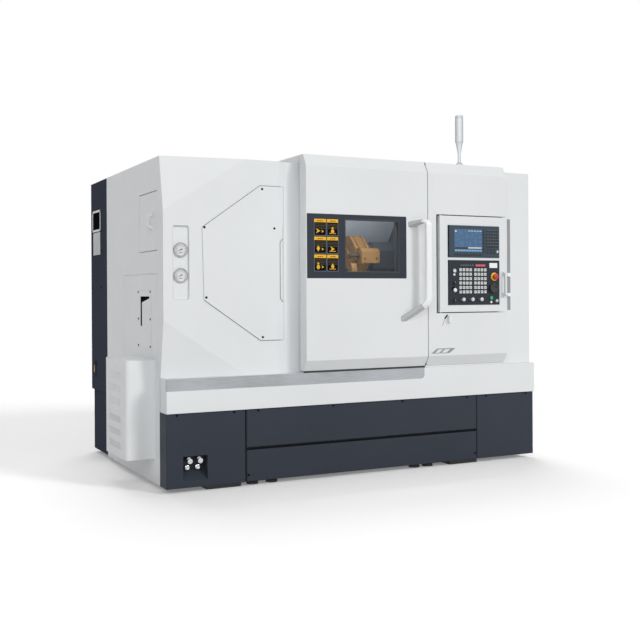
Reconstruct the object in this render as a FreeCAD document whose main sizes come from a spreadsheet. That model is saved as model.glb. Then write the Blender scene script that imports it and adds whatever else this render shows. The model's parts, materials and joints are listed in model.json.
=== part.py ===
import FreeCAD, Part
import Sketcher
import math
import os

# CNC turning lathe with a slant bed, a sliding front door and a swinging operator panel.
# Lengths in millimetres. The modelling datum is the corner where the left side meets
# the front of the base: X runs right along the spindle, Y runs to the back, Z runs up
# from the underside of the base. Every finished piece is then shifted so that the
# origin lies on the floor, at the middle of the machine's footprint.

doc = FreeCAD.newDocument("TurningLathe")
sheet = doc.addObject("Spreadsheet::Sheet", "Sizes")
sheet_rows = []


class Dim:
    """A size: its value, and the sheet expression that gives it."""

    def __init__(self, value, text):
        self.value = float(value)
        self.text = text

    def __add__(self, other):
        other = dim(other)
        return Dim(self.value + other.value, "(%s + %s)" % (self.text, other.text))

    __radd__ = __add__

    def __sub__(self, other):
        other = dim(other)
        return Dim(self.value - other.value, "(%s - %s)" % (self.text, other.text))

    def __rsub__(self, other):
        return dim(other) - self

    def __mul__(self, other):
        other = dim(other)
        return Dim(self.value * other.value, "(%s * %s)" % (self.text, other.text))

    __rmul__ = __mul__

    def __truediv__(self, other):
        other = dim(other)
        return Dim(self.value / other.value, "(%s / %s)" % (self.text, other.text))

    def __neg__(self):
        return Dim(-self.value, "(0 - %s)" % self.text)


def dim(number):
    if isinstance(number, Dim):
        return number
    if number < 0:
        return Dim(number, "(0 - %r)" % abs(float(number)))
    return Dim(number, "%r" % float(number))


def cosine(angle):
    return Dim(math.cos(math.radians(angle.value)), "cos(%s)" % angle.text)


def sine(angle):
    return Dim(math.sin(math.radians(angle.value)), "sin(%s)" % angle.text)


def size(alias, value, note):
    row = len(sheet_rows) + 1
    sheet_rows.append(alias)
    sheet.set("A%d" % row, note)
    sheet.set("B%d" % row, str(value))
    sheet.setAlias("B%d" % row, alias)
    return Dim(value, "Sizes." + alias)


# ---------------------------------------------------------------- driving sizes

cabinet_depth = size("cabinet_depth", 441.0, "depth of the rear electrical cabinet")
floor_gap = size("floor_gap", 28.0, "underside of the base above the floor")
base_height = size("base_height", 427.0, "height of the dark base covers")
cover_sheet = size("cover_sheet", 20.0, "depth of a folded base cover")
corner_return = size("corner_return", 118.0, "base cover wrapped round the left side")
seam_left = size("seam_left", 486.0, "seam between left and centre base covers")
cover_right_length = size("cover_right_length", 473.0, "length of the right base cover")
seam_gap = size("seam_gap", 3.0, "open joint between two covers")
cover_split = size("cover_split", 196.0, "height of the joint between centre covers")
sill_height = size("sill_height", 196.5, "height of the white sill")
sill_overhang = size("sill_overhang", 10.0, "sill in front of the base covers")
sill_depth = size("sill_depth", 111.0, "depth of the sill, front to back")
rail_height = size("rail_height", 69.5, "height of the brushed strip")
rail_short = size("rail_short", 1.0, "brushed strip short of the door's right edge")
rail_thick = size("rail_thick", 12.0, "thickness of the brushed strip")
rail_corner = size("rail_corner", 24.0, "rounded end corner of the brushed strip")
panel_setback = size("panel_setback", 40.0, "front panels behind the front of the base")
roof_height = size("roof_height", 1900.0, "left roof above the underside of the base")
hood_rise = size("hood_rise", 47.0, "hood above the left roof")
roof_sheet = size("roof_sheet", 20.0, "depth of the roof panel")
end_width = size("end_width", 260.0, "length of the right end enclosure")
end_height = size("end_height", 1922.0, "top of the right end enclosure")
cabinet_start = size("cabinet_start", 1286.0, "front of the rear electrical cabinet")
cabinet_length = size("cabinet_length", 2300.0, "length of the rear electrical cabinet")
cabinet_seam = size("cabinet_seam", 428.0, "height of the cabinet's lower seam")
cabinet_step = size("cabinet_step", 14.0, "lower cabinet inset from the upper one")
facet_run = size("facet_run", 500.0, "left panel facets, along the length")
facet_up_drop = size("facet_up_drop", 319.0, "upper facet, drop at the left edge")
facet_up_depth = size("facet_up_depth", 67.0, "upper facet, depth at the left edge")
facet_low_rise = size("facet_low_rise", 331.0, "lower facet, rise at the left edge")
facet_low_depth = size("facet_low_depth", 61.0, "lower facet, depth at the left edge")
fold_low = size("fold_low", 85.0, "left panel wrapped round the side, at the sill")
fold_high = size("fold_high", 100.0, "left panel wrapped round the side, at the roof")
door_lap = size("door_lap", 125.0, "closed door over the left front panel")
recess_slope = size("recess_slope", 63.0, "slope into the door recess, along the length")
recess_in = size("recess_in", 77.0, "floor of the door recess left of the door")
recess_depth = size("recess_depth", 22.0, "depth of the door recess")
side_sheet = size("side_sheet", 30.0, "depth of the left side panel")
fit_gap = size("fit_gap", 0.3, "seated pieces, gap between faces")
run_gap = size("run_gap", 0.05, "running fit, gap on a radius or a way")

door_left = size("door_left", 860.0, "left edge of the closed door")
door_width = size("door_width", 866.0, "width of the door")
door_gap = size("door_gap", 12.5, "door above the sill")
door_back = size("door_back", 35.0, "back of the door")
door_proud = size("door_proud", 52.0, "front of the door before the base covers")
bevel_depth = size("bevel_depth", 39.0, "depth of the door's sloping faces")
bevel_low = size("bevel_low", 63.0, "height of the lower sloping face")
bevel_high = size("bevel_high", 70.0, "height of the upper sloping face")
box_gap = size("box_gap", 6.0, "gap between the door and the control box")
frame_in = size("frame_in", 5.0, "window surround in from the door's left edge")
frame_width = size("frame_width", 702.0, "window surround, width")
frame_low = size("frame_low", 1196.0, "window surround, lower edge")
frame_height = size("frame_height", 391.0, "window surround, height")
frame_thick = size("frame_thick", 5.0, "window surround, thickness")
glass_in_left = size("glass_in_left", 256.0, "pane in from the surround's left edge")
glass_in_right = size("glass_in_right", 53.0, "pane in from the surround's right edge")
glass_in_low = size("glass_in_low", 35.0, "pane in from the surround's lower edge")
glass_in_high = size("glass_in_high", 28.0, "pane in from the surround's top")
glass_lap = size("glass_lap", 16.0, "window pane behind its surround")
glass_thick = size("glass_thick", 8.0, "window pane, thickness")
warn_in = size("warn_in", 48.0, "warning plates in from the surround's left edge")
warn_width = size("warn_width", 78.0, "warning plate, width")
warn_height = size("warn_height", 101.0, "warning plate, height")
warn_pitch_across = size("warn_pitch_across", 87.0, "warning plates, pitch across")
warn_pitch_up = size("warn_pitch_up", 108.0, "warning plates, pitch up")
warn_up = size("warn_up", 42.0, "warning plates up from the surround's lower edge")
warn_sink = size("warn_sink", 0.8, "warning plates, recess depth")

grip_in = size("grip_in", 44.0, "door handle grip in from the door's right edge")
grip_reach = size("grip_reach", 78.0, "door handle grip before the door")
grip_low = size("grip_low", 1040.0, "door handle grip, lower bend")
grip_high = size("grip_high", 1565.0, "door handle grip, upper bend")
grip_wide = size("grip_wide", 43.0, "door handle section, width")
grip_thick = size("grip_thick", 24.0, "door handle section, thickness")
foot_high_in = size("foot_high_in", 80.0, "upper foot of the handle left of its grip")
foot_high_drop = size("foot_high_drop", 25.0, "upper foot below the upper bend")
foot_low_in = size("foot_low_in", 137.0, "lower foot of the handle left of its grip")
foot_low_drop = size("foot_low_drop", 98.0, "lower foot below the lower bend")

pocket_in = size("pocket_in", 62.0, "panel pocket in from the box's left side")
pocket_low = size("pocket_low", 973.0, "operator panel pocket, bottom")
pocket_depth = size("pocket_depth", 91.0, "operator panel pocket, depth")
panel_gap = size("panel_gap", 27.0, "pocket side to the operator panel")
panel_edge_gap = size("panel_edge_gap", 6.0, "operator panel to pocket, above and below")
panel_deep = size("panel_deep", 86.0, "operator panel, depth")
panel_sink = size("panel_sink", 2.0, "operator panel behind the box front")
pull_strip = size("pull_strip", 50.0, "grey grip strip at the panel's right edge")
board_in = size("board_in", 67.0, "boards in from the panel's left edge")
board_right = size("board_right", 12.0, "boards short of the grip strip")
board_gap = size("board_gap", 18.0, "display unit above the operator board")
display_height = size("display_height", 209.0, "display unit, height")
display_proud = size("display_proud", 6.0, "display unit before the panel")
key_in = size("key_in", 82.0, "white keys in from the board's left edge")
key_size = size("key_size", 19.0, "white key, side")
key_pitch_across = size("key_pitch_across", 26.5, "white keys, pitch across")
block_gap = size("key_block_gap", 12.0, "gap between the two key blocks")
dial_gap = size("dial_gap", 21.5, "white keys to the pulse dial")
dial_side = size("pulse_radius", 31.0, "pulse dial, radius")
dial_margin = size("dial_margin", 25.0, "pulse dial in from the board's right edge")
board_up = size("board_up", 46.0, "operator board above the panel's lower edge")
keys_height = size("keys_height", 292.0, "operator board, height")
display_drop = size("display_drop", 61.0, "display unit below the panel's top")
keys_proud = size("keys_proud", 3.0, "operator board before the panel")

hatch_front = size("hatch_front", 155.0, "side hatch, front edge")
hatch_width = size("hatch_width", 354.0, "side hatch, width")
hatch_low = size("hatch_low", 1360.0, "side hatch, lower edge")
hatch_height = size("hatch_height", 344.0, "side hatch, height")
hatch_thick = size("hatch_thick", 20.0, "side hatch, thickness")
hatch_gap = size("hatch_gap", 3.0, "gap round the side hatch")
hatch_lip = size("hatch_lip", 14.0, "lip behind the side hatch")
hatch_swing_gap = size("hatch_swing_gap", 2.0, "space behind the hatch for its swing")
hatch_pin_radius = size("hatch_pin_radius", 4.0, "hinge rod of the hatch, radius")
hatch_pin_in = size("hatch_pin_in", 6.0, "hinge rod in from the hatch's outer corner")
hatch_grip_up = size("hatch_grip_up", 123.0, "side hatch handle above the hatch's edge")
hatch_grip_length = size("hatch_grip_length", 103.0, "side hatch handle, length")
hatch_grip_in = size("hatch_grip_in", 80.0, "side hatch handle from the front edge")
hatch_grip_reach = size("hatch_grip_reach", 34.0, "side hatch handle before the hatch")
hatch_grip_bar = size("hatch_grip_bar", 14.0, "side hatch handle, bar size")

pump_front = size("pump_front", 210.0, "pump cover, front side")
pump_length = size("pump_length", 430.0, "pump cover, front to back")
pump_reach = size("pump_reach", 175.0, "pump cover beyond the left side")
pump_low = size("pump_low", 145.0, "pump cover, underside")
pump_high = size("pump_high", 721.0, "pump cover, top")
pump_round = size("pump_round", 28.0, "pump cover, rounded upright edge")

slant_angle = size("slant_angle", 45.0, "slope of the bed")
spindle_y = size("spindle_y", 410.0, "spindle axis behind the base front")
spindle_z = size("spindle_z", 1150.0, "spindle axis above the base underside")
bed_drop = size("bed_drop", 250.0, "spindle axis to the guideways, square to the slope")
way_rise = size("way_rise", 40.0, "guideways above the bed casting")
way_width = size("way_width", 70.0, "width of a guideway")
way_low = size("way_low", -60.0, "lower guideway along the slope")
way_pitch = size("way_pitch", 450.0, "pitch of the two guideways")
bed_lip = size("bed_lip", 30.0, "bed casting past the guideways")
bed_left = size("bed_left", 200.0, "left end of the slant bed")
bed_past = size("bed_past", 250.0, "slant bed past the machining space")
bed_gap = size("bed_gap", 46.0, "bed casting before the rear cabinet")
saddle_room = size("saddle_room", 25.0, "saddle to the right wall of the machining space")
guard_sheet = size("guard_sheet", 5.0, "thickness of the guards")
turret_offset = size("turret_offset", 297.0, "turret axis from the spindle axis, up the slope")
work_gap = size("work_gap", 380.0, "chuck face to the turret disc")
turret_width = size("turret_width", 110.0, "thickness of the turret disc")
turret_flats = size("turret_flats", 280.0, "turret disc across flats")
block_length = size("block_length", 140.0, "tool block, along the spindle")
block_height = size("block_height", 68.0, "tool block, out from the turret")
block_width = size("block_width", 100.0, "tool block, across the flat")
bar_radius = size("bar_radius", 13.0, "boring bar, radius")
bar_reach = size("bar_reach", 78.0, "boring bar before its block")
round_radius = size("round_radius", 74.0, "round tool holder, radius")
neck_run = size("neck_run", 55.0, "turret disc to the saddle's left end")
saddle_length = size("saddle_length", 270.0, "length of the saddle")
saddle_thick = size("saddle_thick", 75.0, "thickness of the saddle")
slide_thick = size("slide_thick", 62.0, "thickness of the cross slide")
slide_low = size("slide_low", 130.0, "lower end of the cross slide, along the slope")
slide_length = size("slide_length", 330.0, "length of the cross slide")
housing_length = size("housing_length", 180.0, "turret housing, along the spindle")
head_length = size("head_length", 560.0, "headstock, length")
head_gap = size("head_gap", 30.0, "headstock to the wall of the machining space")
head_half = size("head_half", 165.0, "headstock, axis to its top")
shaft_radius = size("shaft_radius", 60.0, "spindle shaft, radius")
chuck_radius = size("chuck_radius", 127.0, "chuck, radius")
chuck_gap = size("chuck_gap", 25.0, "chuck past the wall of the machining space")
chuck_length = size("chuck_length", 100.0, "chuck body, length")
jaw_width = size("jaw_width", 36.0, "chuck jaw, width")
jaw_reach = size("jaw_reach", 42.0, "chuck jaw before the chuck face")
jaw_inner = size("jaw_inner", 42.0, "chuck jaw, inner radius")
jaw_outer = size("jaw_outer", 112.0, "chuck jaw, outer radius")
jaw_slot = size("jaw_slot", 24.0, "chuck jaw slot, depth")
jaw_gap = size("jaw_gap", 0.1, "chuck jaw to the sides of its slot")
motor_radius = size("motor_radius", 145.0, "spindle motor, radius")
motor_space = size("motor_space", 65.0, "spindle motor to the side panel")
lamp_in = size("lamp_in", 323.0, "signal lamp in from the box's left side")
lamp_y = size("lamp_y", 60.0, "signal lamp, behind the base front")
lamp_height = size("lamp_height", 339.0, "top of the signal lamp above the hood")
tube_tall = size("lamp_tube_tall", 176.0, "light tube of the signal lamp, height")
lamp_radius = size("lamp_radius", 27.5, "signal lamp, radius")
pole_radius = size("pole_radius", 12.5, "lamp pole, radius")
flange_height = size("flange_height", 36.0, "lamp flange, height")

# ---------------------------------------------------------------- derived places

slope_cos = cosine(slant_angle)
slope_sin = sine(slant_angle)
sill_top = base_height + sill_height
machine_depth = cabinet_start + cabinet_depth
hood_height = roof_height + hood_rise
door_front = -door_proud
door_low = sill_top + door_gap
door_middle = bevel_depth - door_proud
door_right = door_left + door_width
panel_end = door_left + door_lap
recess_floor = door_left - recess_in
recess_start = recess_floor - recess_slope
rail_length = door_right - rail_short
box_left = door_right + box_gap
pocket_left = box_left + pocket_in
panel_left = pocket_left + panel_gap
display_left = panel_left + board_in
keys_across = key_pitch_across * 7.0 + block_gap + key_size
display_width = key_in + keys_across + dial_gap + dial_side * 2.0 + dial_margin
display_right = display_left + display_width
box_end = display_right + board_right + pull_strip
machine_length = box_end + end_width
seam_right = machine_length - cover_right_length
panel_low = pocket_low + panel_edge_gap
keys_low = panel_low + board_up
keys_high = keys_low + keys_height
display_low = keys_high + board_gap
display_high = display_low + display_height
panel_high = display_high + display_drop
pocket_high = panel_high + panel_edge_gap
frame_left = door_left + frame_in
frame_right = frame_left + frame_width
frame_high = frame_low + frame_height
glass_left = frame_left + glass_in_left
glass_width = frame_width - glass_in_left - glass_in_right
glass_low = frame_low + glass_in_low
glass_height = frame_height - glass_in_low - glass_in_high
warn_left = frame_left + warn_in
warn_low = frame_low + warn_up
grip_x = door_right - grip_in
lamp_x = box_left + lamp_in
lamp_top = hood_height + lamp_height
lamp_tube_low = lamp_top - tube_tall
bed_back = cabinet_start - bed_gap
chamber_left = panel_end
chuck_left = chamber_left + chuck_gap
chuck_face = chuck_left + chuck_length
turret_left = chuck_face + work_gap
turret_right = turret_left + turret_width
saddle_left = turret_right + neck_run
chamber_right = saddle_left + saddle_length + saddle_room
bed_right = chamber_right + bed_past
head_left = chamber_left - head_gap - head_length
motor_left = side_sheet + motor_space
sill_back = sill_depth - sill_overhang
origin_x = (machine_length - pump_reach) / 2.0
handle_front = grip_reach + door_proud + grip_thick / 2.0
origin_y = (machine_depth - handle_front) / 2.0
turret_y = spindle_y + turret_offset * slope_cos
turret_z = spindle_z + turret_offset * slope_sin


def on_slope(along, out):
    """Point of the YZ plane at a distance up the slope from the spindle axis and out from it."""
    y = spindle_y + along * slope_cos - out * slope_sin
    z = spindle_z + along * slope_sin + out * slope_cos
    return (y, z)


# Sides of what is drawn as a regular polygon, and margins of cuts.
round_sides = 24
lamp_sides = 18
knob_sides = 12
small_sides = 12
stem_sides = 10
corner_steps = 3
cut_past = size("cut_past", 1.0, "cuts carried on past the face that they start from")
pin_end = size("pin_end", 2.0, "hinge pin short of the end of its hole")

# ---------------------------------------------------------------- tools

names_used = {}
nodes = {}
cuts = []


def fresh(name):
    count = names_used.get(name, 0) + 1
    names_used[name] = count
    if count == 1:
        return name
    return "%s_%d" % (name, count)


def bind(item, prop, amount):
    item.setExpression(prop, dim(amount).text)


def make_body(name):
    return doc.addObject("PartDesign::Body", fresh(name + "_body"))


def make_sketch(body, plane, offset):
    sketch = body.newObject("Sketcher::SketchObject", fresh(body.Name + "_sketch"))
    for datum in body.Origin.OriginFeatures:
        if datum.Role == plane:
            sketch.AttachmentSupport = [(datum, "")]
    sketch.MapMode = "FlatFace"
    bind(sketch, "AttachmentOffset.Base.z", offset)
    return sketch


def fix_point(sketch, index, position, place):
    first = dim(place[0])
    second = dim(place[1])
    for kind, amount in (("DistanceX", first), ("DistanceY", second)):
        row = sketch.addConstraint(Sketcher.Constraint(kind, -1, 1, index, position, amount.value))
        sketch.setExpression("Constraints[%d]" % row, amount.text)


def draw_outline(sketch, points):
    start = len(sketch.Geometry)
    count = len(points)
    corners = []
    for point in points:
        corners.append(FreeCAD.Vector(dim(point[0]).value, dim(point[1]).value, 0))
    for number in range(count):
        line = Part.LineSegment(corners[number], corners[(number + 1) % count])
        sketch.addGeometry(line)
    for number in range(count):
        after = start + (number + 1) % count
        sketch.addConstraint(Sketcher.Constraint("Coincident", start + number, 2, after, 1))
    for number in range(count):
        fix_point(sketch, start + number, 1, points[number])


def draw_circle(sketch, centre, radius):
    middle = FreeCAD.Vector(dim(centre[0]).value, dim(centre[1]).value, 0)
    axis = FreeCAD.Vector(0, 0, 1)
    index = sketch.addGeometry(Part.Circle(middle, axis, dim(radius).value))
    row = sketch.addConstraint(Sketcher.Constraint("Radius", index, dim(radius).value))
    sketch.setExpression("Constraints[%d]" % row, dim(radius).text)
    fix_point(sketch, index, 3, centre)


def rectangle(left, low, right, high):
    return [(left, low), (right, low), (right, high), (left, high)]


def polygon(centre, radius, sides, turn=0.0):
    """Corners of a regular polygon; the radius is that of its corners."""
    corners = []
    for number in range(sides):
        angle = math.radians(turn + 360.0 * number / sides)
        across = centre[0] + radius * math.cos(angle)
        corners.append((across, centre[1] + radius * math.sin(angle)))
    return corners


def rounded(left, low, right, high, radius, steps):
    """Rectangle whose corners are rounded in a number of steps."""
    corners = []
    centres = ((right - radius, high - radius), (left + radius, high - radius),
               (left + radius, low + radius), (right - radius, low + radius))
    for quarter, centre in enumerate(centres):
        for step in range(steps + 1):
            angle = math.radians(90.0 * (quarter + step / steps))
            across = centre[0] + radius * math.cos(angle)
            corners.append((across, centre[1] + radius * math.sin(angle)))
    return corners


def round_clear(centre, radius, sides):
    """Regular polygon whose flats lie at the radius, so that a round piece passes it."""
    return polygon(centre, radius / math.cos(math.pi / sides), sides)


def extrude(body, kind, plane, start, depth, outlines, circles=()):
    """Pad or pocket outlines drawn square to X, Y or Z, from start to start + depth."""
    start = dim(start)
    depth = dim(depth)
    offset = start
    backward = False
    if plane == "XZ_Plane":
        offset = -(start + depth)
    if kind == "PartDesign::Pocket":
        backward = True
    sketch = make_sketch(body, plane, offset)
    for outline in outlines:
        draw_outline(sketch, outline)
    for centre, radius in circles:
        draw_circle(sketch, centre, radius)
    feature = body.newObject(kind, fresh(body.Name + "_step"))
    feature.Profile = sketch
    bind(feature, "Length", depth)
    feature.Reversed = backward
    return feature


def pad(body, plane, start, depth, outlines, circles=()):
    return extrude(body, "PartDesign::Pad", plane, start, depth, outlines, circles)


def pocket(body, plane, start, depth, outlines, circles=()):
    before = body.Tip
    feature = extrude(body, "PartDesign::Pocket", plane, start, depth, outlines, circles)
    cuts.append((feature, before))
    return feature


def repeat_round(body, feature, axis_role, count):
    """Pattern of a feature round one of the body's own axes."""
    pattern = body.newObject("PartDesign::PolarPattern", fresh(body.Name + "_ring"))
    pattern.Originals = [feature]
    for datum in body.Origin.OriginFeatures:
        if datum.Role == axis_role:
            pattern.Axis = (datum, [""])
    pattern.Angle = 360.0
    pattern.Occurrences = count
    body.Tip = pattern
    return pattern


def repeat(body, feature, plane_or_axis, pitch, count):
    """Linear pattern of a feature along one of the body's own axes."""
    pattern = body.newObject("PartDesign::LinearPattern", fresh(body.Name + "_row"))
    pattern.Originals = [feature]
    for datum in body.Origin.OriginFeatures:
        if datum.Role == plane_or_axis:
            pattern.Direction = (datum, [""])
    bind(pattern, "Length", dim(pitch) * (count - 1))
    pattern.Occurrences = count
    body.Tip = pattern
    return pattern


def soften(body, radius, wanted, kind="PartDesign::Fillet"):
    """Round or bevel the edges of the body that the test picks by their middle and direction."""
    doc.recompute([body])
    tip = body.Tip
    picked = []
    for number, edge in enumerate(tip.Shape.Edges):
        if edge.Curve.TypeId != "Part::GeomLine":
            continue
        middle = edge.valueAt((edge.FirstParameter + edge.LastParameter) / 2.0)
        along = edge.tangentAt(edge.FirstParameter)
        if wanted(middle, along, edge.Length):
            picked.append("Edge%d" % (number + 1))
    if not picked:
        raise ValueError("no edges to round on " + body.Name)
    feature = body.newObject(kind, fresh(body.Name + "_round"))
    feature.Base = (tip, picked)
    if kind == "PartDesign::Fillet":
        bind(feature, "Radius", radius)
    else:
        bind(feature, "Size", radius)
    body.Tip = feature
    return feature


def near(value, target):
    return abs(value - dim(target).value) < 0.05


def bevel_level(body, axis, place, amount):
    """Bevel every edge of the body that lies in the plane square to an axis at a place."""
    direction = FreeCAD.Vector(axis == "X", axis == "Y", axis == "Z")

    def lies_there(middle, along, length):
        return near(middle.dot(direction), place) and abs(along.dot(direction)) < 0.01

    return soften(body, amount, lies_there, "PartDesign::Chamfer")


def box(name, low, high):
    item = doc.addObject("Part::Box", fresh(name))
    for prop, start, end in zip(("Length", "Width", "Height"), low, high):
        bind(item, prop, dim(end) - dim(start))
    for axis, start in zip(("x", "y", "z"), low):
        bind(item, "Placement.Base." + axis, start)
    return item


axis_turns = {
    "X": FreeCAD.Rotation(FreeCAD.Vector(0, 1, 0), 90),
    "Y": FreeCAD.Rotation(FreeCAD.Vector(1, 0, 0), -90),
    "Z": FreeCAD.Rotation(),
}


def set_axis(item, axis, place):
    item.Placement = FreeCAD.Placement(FreeCAD.Vector(), axis_turns[axis])
    for direction, amount in zip(("x", "y", "z"), place):
        bind(item, "Placement.Base." + direction, amount)


def prism(name, axis, place, radius, length, sides):
    """Regular prism; the radius is that of its corners."""
    item = doc.addObject("Part::Prism", fresh(name))
    item.Polygon = sides
    bind(item, "Circumradius", radius)
    bind(item, "Height", length)
    set_axis(item, axis, place)
    return item


def fuse(name, items):
    item = doc.addObject("Part::MultiFuse", fresh(name))
    item.Shapes = items
    item.Refine = True
    return item


def cut(name, base, tool):
    item = doc.addObject("Part::Cut", fresh(name))
    item.Base = base
    item.Tool = tool
    return item


def common(name, first, second):
    item = doc.addObject("Part::MultiCommon", fresh(name))
    item.Shapes = [first, second]
    return item


def group(name, items):
    item = doc.addObject("Part::Compound", fresh(name))
    item.Links = items
    return item


def finish(node, item):
    """Name a finished piece and shift it from the modelling datum to the floor origin."""
    item.Label = node
    bind(item, "Placement.Base.x", -origin_x)
    bind(item, "Placement.Base.y", -origin_y)
    bind(item, "Placement.Base.z", floor_gap)
    nodes[node] = item


def revolve(body, plane, points, axis_role, kind="PartDesign::Revolution"):
    """Turn an outline, drawn on an origin plane, round one of the body's own axes."""
    sketch = make_sketch(body, plane, 0.0)
    draw_outline(sketch, points)
    feature = body.newObject(kind, fresh(body.Name + "_turn"))
    feature.Profile = sketch
    for datum in body.Origin.OriginFeatures:
        if datum.Role == axis_role:
            feature.ReferenceAxis = (datum, [""])
    feature.Angle = 360.0
    return feature


def shift_body(body, place):
    """Place a body built round its own origin before it joins a group or a boolean."""
    for direction, amount in zip(("x", "y", "z"), place):
        bind(body, "Placement.Base." + direction, amount)

# ---------------------------------------------------------------- bed and base

# The casting: a base block with a notch behind the left cover, and the slant bed
# with two box guideways, drawn as one profile across the machine.
body = make_body("bed_casting")
casting_left = side_sheet + fit_gap
casting_right = machine_length - cover_sheet
casting_plan = [
    (casting_left, corner_return), (seam_left, corner_return), (seam_left, cover_sheet),
    (casting_right, cover_sheet), (casting_right, bed_back), (casting_left, bed_back),
]
pad(body, "XY_Plane", 0.0, base_height, [casting_plan])
low_edge = way_low - bed_lip
way_high = way_low + way_pitch
high_edge = way_high + way_width + bed_lip
face_out = -(bed_drop + way_rise)
foot = on_slope(low_edge, face_out)
head = on_slope(high_edge, face_out)
slant_profile = [
    (foot[0], base_height),
    foot,
    on_slope(way_low, face_out),
    on_slope(way_low, -bed_drop),
    on_slope(way_low + way_width, -bed_drop),
    on_slope(way_low + way_width, face_out),
    on_slope(way_high, face_out),
    on_slope(way_high, -bed_drop),
    on_slope(way_high + way_width, -bed_drop),
    on_slope(way_high + way_width, face_out),
    head,
    (bed_back, head[1]),
    (bed_back, base_height),
]
pad(body, "YZ_Plane", bed_left, bed_right - bed_left, [slant_profile])
core_wall = size("core_wall", 60.0, "walls left round the bed's core windows")
core_width = size("core_width", 240.0, "width of a core window in the bed")
core_pitch = size("core_pitch", 420.0, "pitch of the core windows")
core_first = size("core_first", 330.0, "first core window from the bed's left end")
core_depth = size("core_depth", 260.0, "depth of a core window")
core_left = bed_left + core_first
core = pocket(
    body,
    "XZ_Plane",
    bed_back - core_depth,
    core_depth,
    [rectangle(core_left, base_height + core_wall, core_left + core_width, head[1] - core_wall)],
)
repeat(body, core, "X_Axis", core_pitch, 4)
finish("bed_casting", body)

# Dark base covers: one wraps the left front corner and holds a recess with a
# sloping floor; the centre is split along its height.
body = make_body("base_cover_left")
pad(body, "XY_Plane", 0.0, base_height, [rectangle(0.0, 0.0, seam_left, corner_return)])
niche_left = size("niche_left", 100.0, "connection recess, left side")
niche_width = size("niche_width", 147.0, "connection recess, width")
niche_low = size("niche_low", 37.0, "connection recess, lower edge")
niche_height = size("niche_height", 141.0, "connection recess, height")
niche_depth = size("niche_depth", 70.0, "connection recess, depth")
niche_slope = size("niche_slope", 60.0, "rise of the recess's sloping floor")
niche_high = niche_low + niche_height
pocket(
    body,
    "YZ_Plane",
    niche_left,
    niche_width,
    [[(-cut_past, niche_low), (0.0, niche_low), (niche_depth, niche_low + niche_slope),
      (niche_depth, niche_high), (-cut_past, niche_high)]],
)
cover_round = size("cover_round", 6.0, "rounded corner of the left base cover")


def is_front_corner(middle, along, length):
    return near(middle.x, 0.0) and near(middle.y, 0.0) and abs(along.z) > 0.9


soften(body, cover_round, is_front_corner)
finish("base_cover_left", body)

cover_start = seam_left + seam_gap
cover_end = seam_right - seam_gap
body = make_body("base_cover_upper")
pad(body, "XY_Plane", cover_split + seam_gap, base_height - cover_split - seam_gap,
    [rectangle(cover_start, 0.0, cover_end, cover_sheet)])
cover_bend = size("cover_bend", 5.0, "bent edges of the flat covers")


def is_front_edge(middle, along, length):
    return near(middle.y, 0.0)


soften(body, cover_bend, is_front_edge, "PartDesign::Chamfer")
finish("base_cover_upper", body)
body = make_body("base_cover_lower")
pad(body, "XY_Plane", 0.0, cover_split, [rectangle(cover_start, 0.0, cover_end, cover_sheet)])
soften(body, cover_bend, is_front_edge, "PartDesign::Chamfer")
finish("base_cover_lower", body)
body = make_body("base_cover_right")
pad(body, "XY_Plane", 0.0, base_height,
    [rectangle(seam_right, 0.0, machine_length, cover_sheet)])
soften(body, cover_bend, is_front_edge, "PartDesign::Chamfer")
finish("base_cover_right", body)

# Hose fittings inside the recess: two pipe ends and two knobs on its back wall.
fitting_radius = size("fitting_radius", 12.0, "hose fitting, radius")
fitting_reach = size("fitting_reach", 46.0, "hose fitting, length")
fitting_pitch = size("fitting_pitch", 62.0, "pitch of the hose fittings")
knob_radius = size("knob_radius", 15.0, "fitting knob, radius")
knob_reach = size("knob_reach", 22.0, "fitting knob, length")
pipe_lift = size("pipe_lift", 8.0, "hose fitting above its knob")
fitting_drop = size("fitting_drop", 14.0, "fitting knobs below the top of the recess")
fitting_x = niche_left + niche_width / 2.0 - fitting_pitch / 2.0
fitting_z = niche_high - knob_radius - fitting_drop
pieces = []
for number in range(2):
    across = fitting_x + fitting_pitch * number
    pipe_front = niche_depth - fitting_reach
    pipe = prism("pipe_end", "Y", (across, pipe_front, fitting_z + pipe_lift), fitting_radius,
                 fitting_reach, small_sides)
    knob = prism("pipe_knob", "Y", (across, pipe_front - knob_reach, fitting_z), knob_radius,
                 knob_reach, small_sides)
    pieces.append(fuse("fitting", [pipe, knob]))
finish("hose_fittings", group("hose_fittings_set", pieces))

# White sill with a rebate for the brushed strip, whose right lower corner is round.
body = make_body("sill")
pad(body, "YZ_Plane", 0.0, machine_length,
    [rectangle(-sill_overhang, base_height, sill_back, sill_top)])
rail_low = sill_top - rail_height
rail_back = rail_thick - sill_overhang
pocket(body, "YZ_Plane", 0.0, rail_length,
       [rectangle(-sill_overhang - cut_past, rail_low, rail_back, sill_top + cut_past)])


def is_rail_corner(middle, along, length):
    return near(middle.x, rail_length) and near(middle.z, rail_low) and abs(along.y) > 0.9


soften(body, rail_corner, is_rail_corner)
finish("sill", body)
body = make_body("door_rail")
pad(body, "YZ_Plane", 0.0, rail_length,
    [rectangle(-sill_overhang, rail_low, rail_back, sill_top)])
soften(body, rail_corner, is_rail_corner)
finish("door_rail", body)

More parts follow.
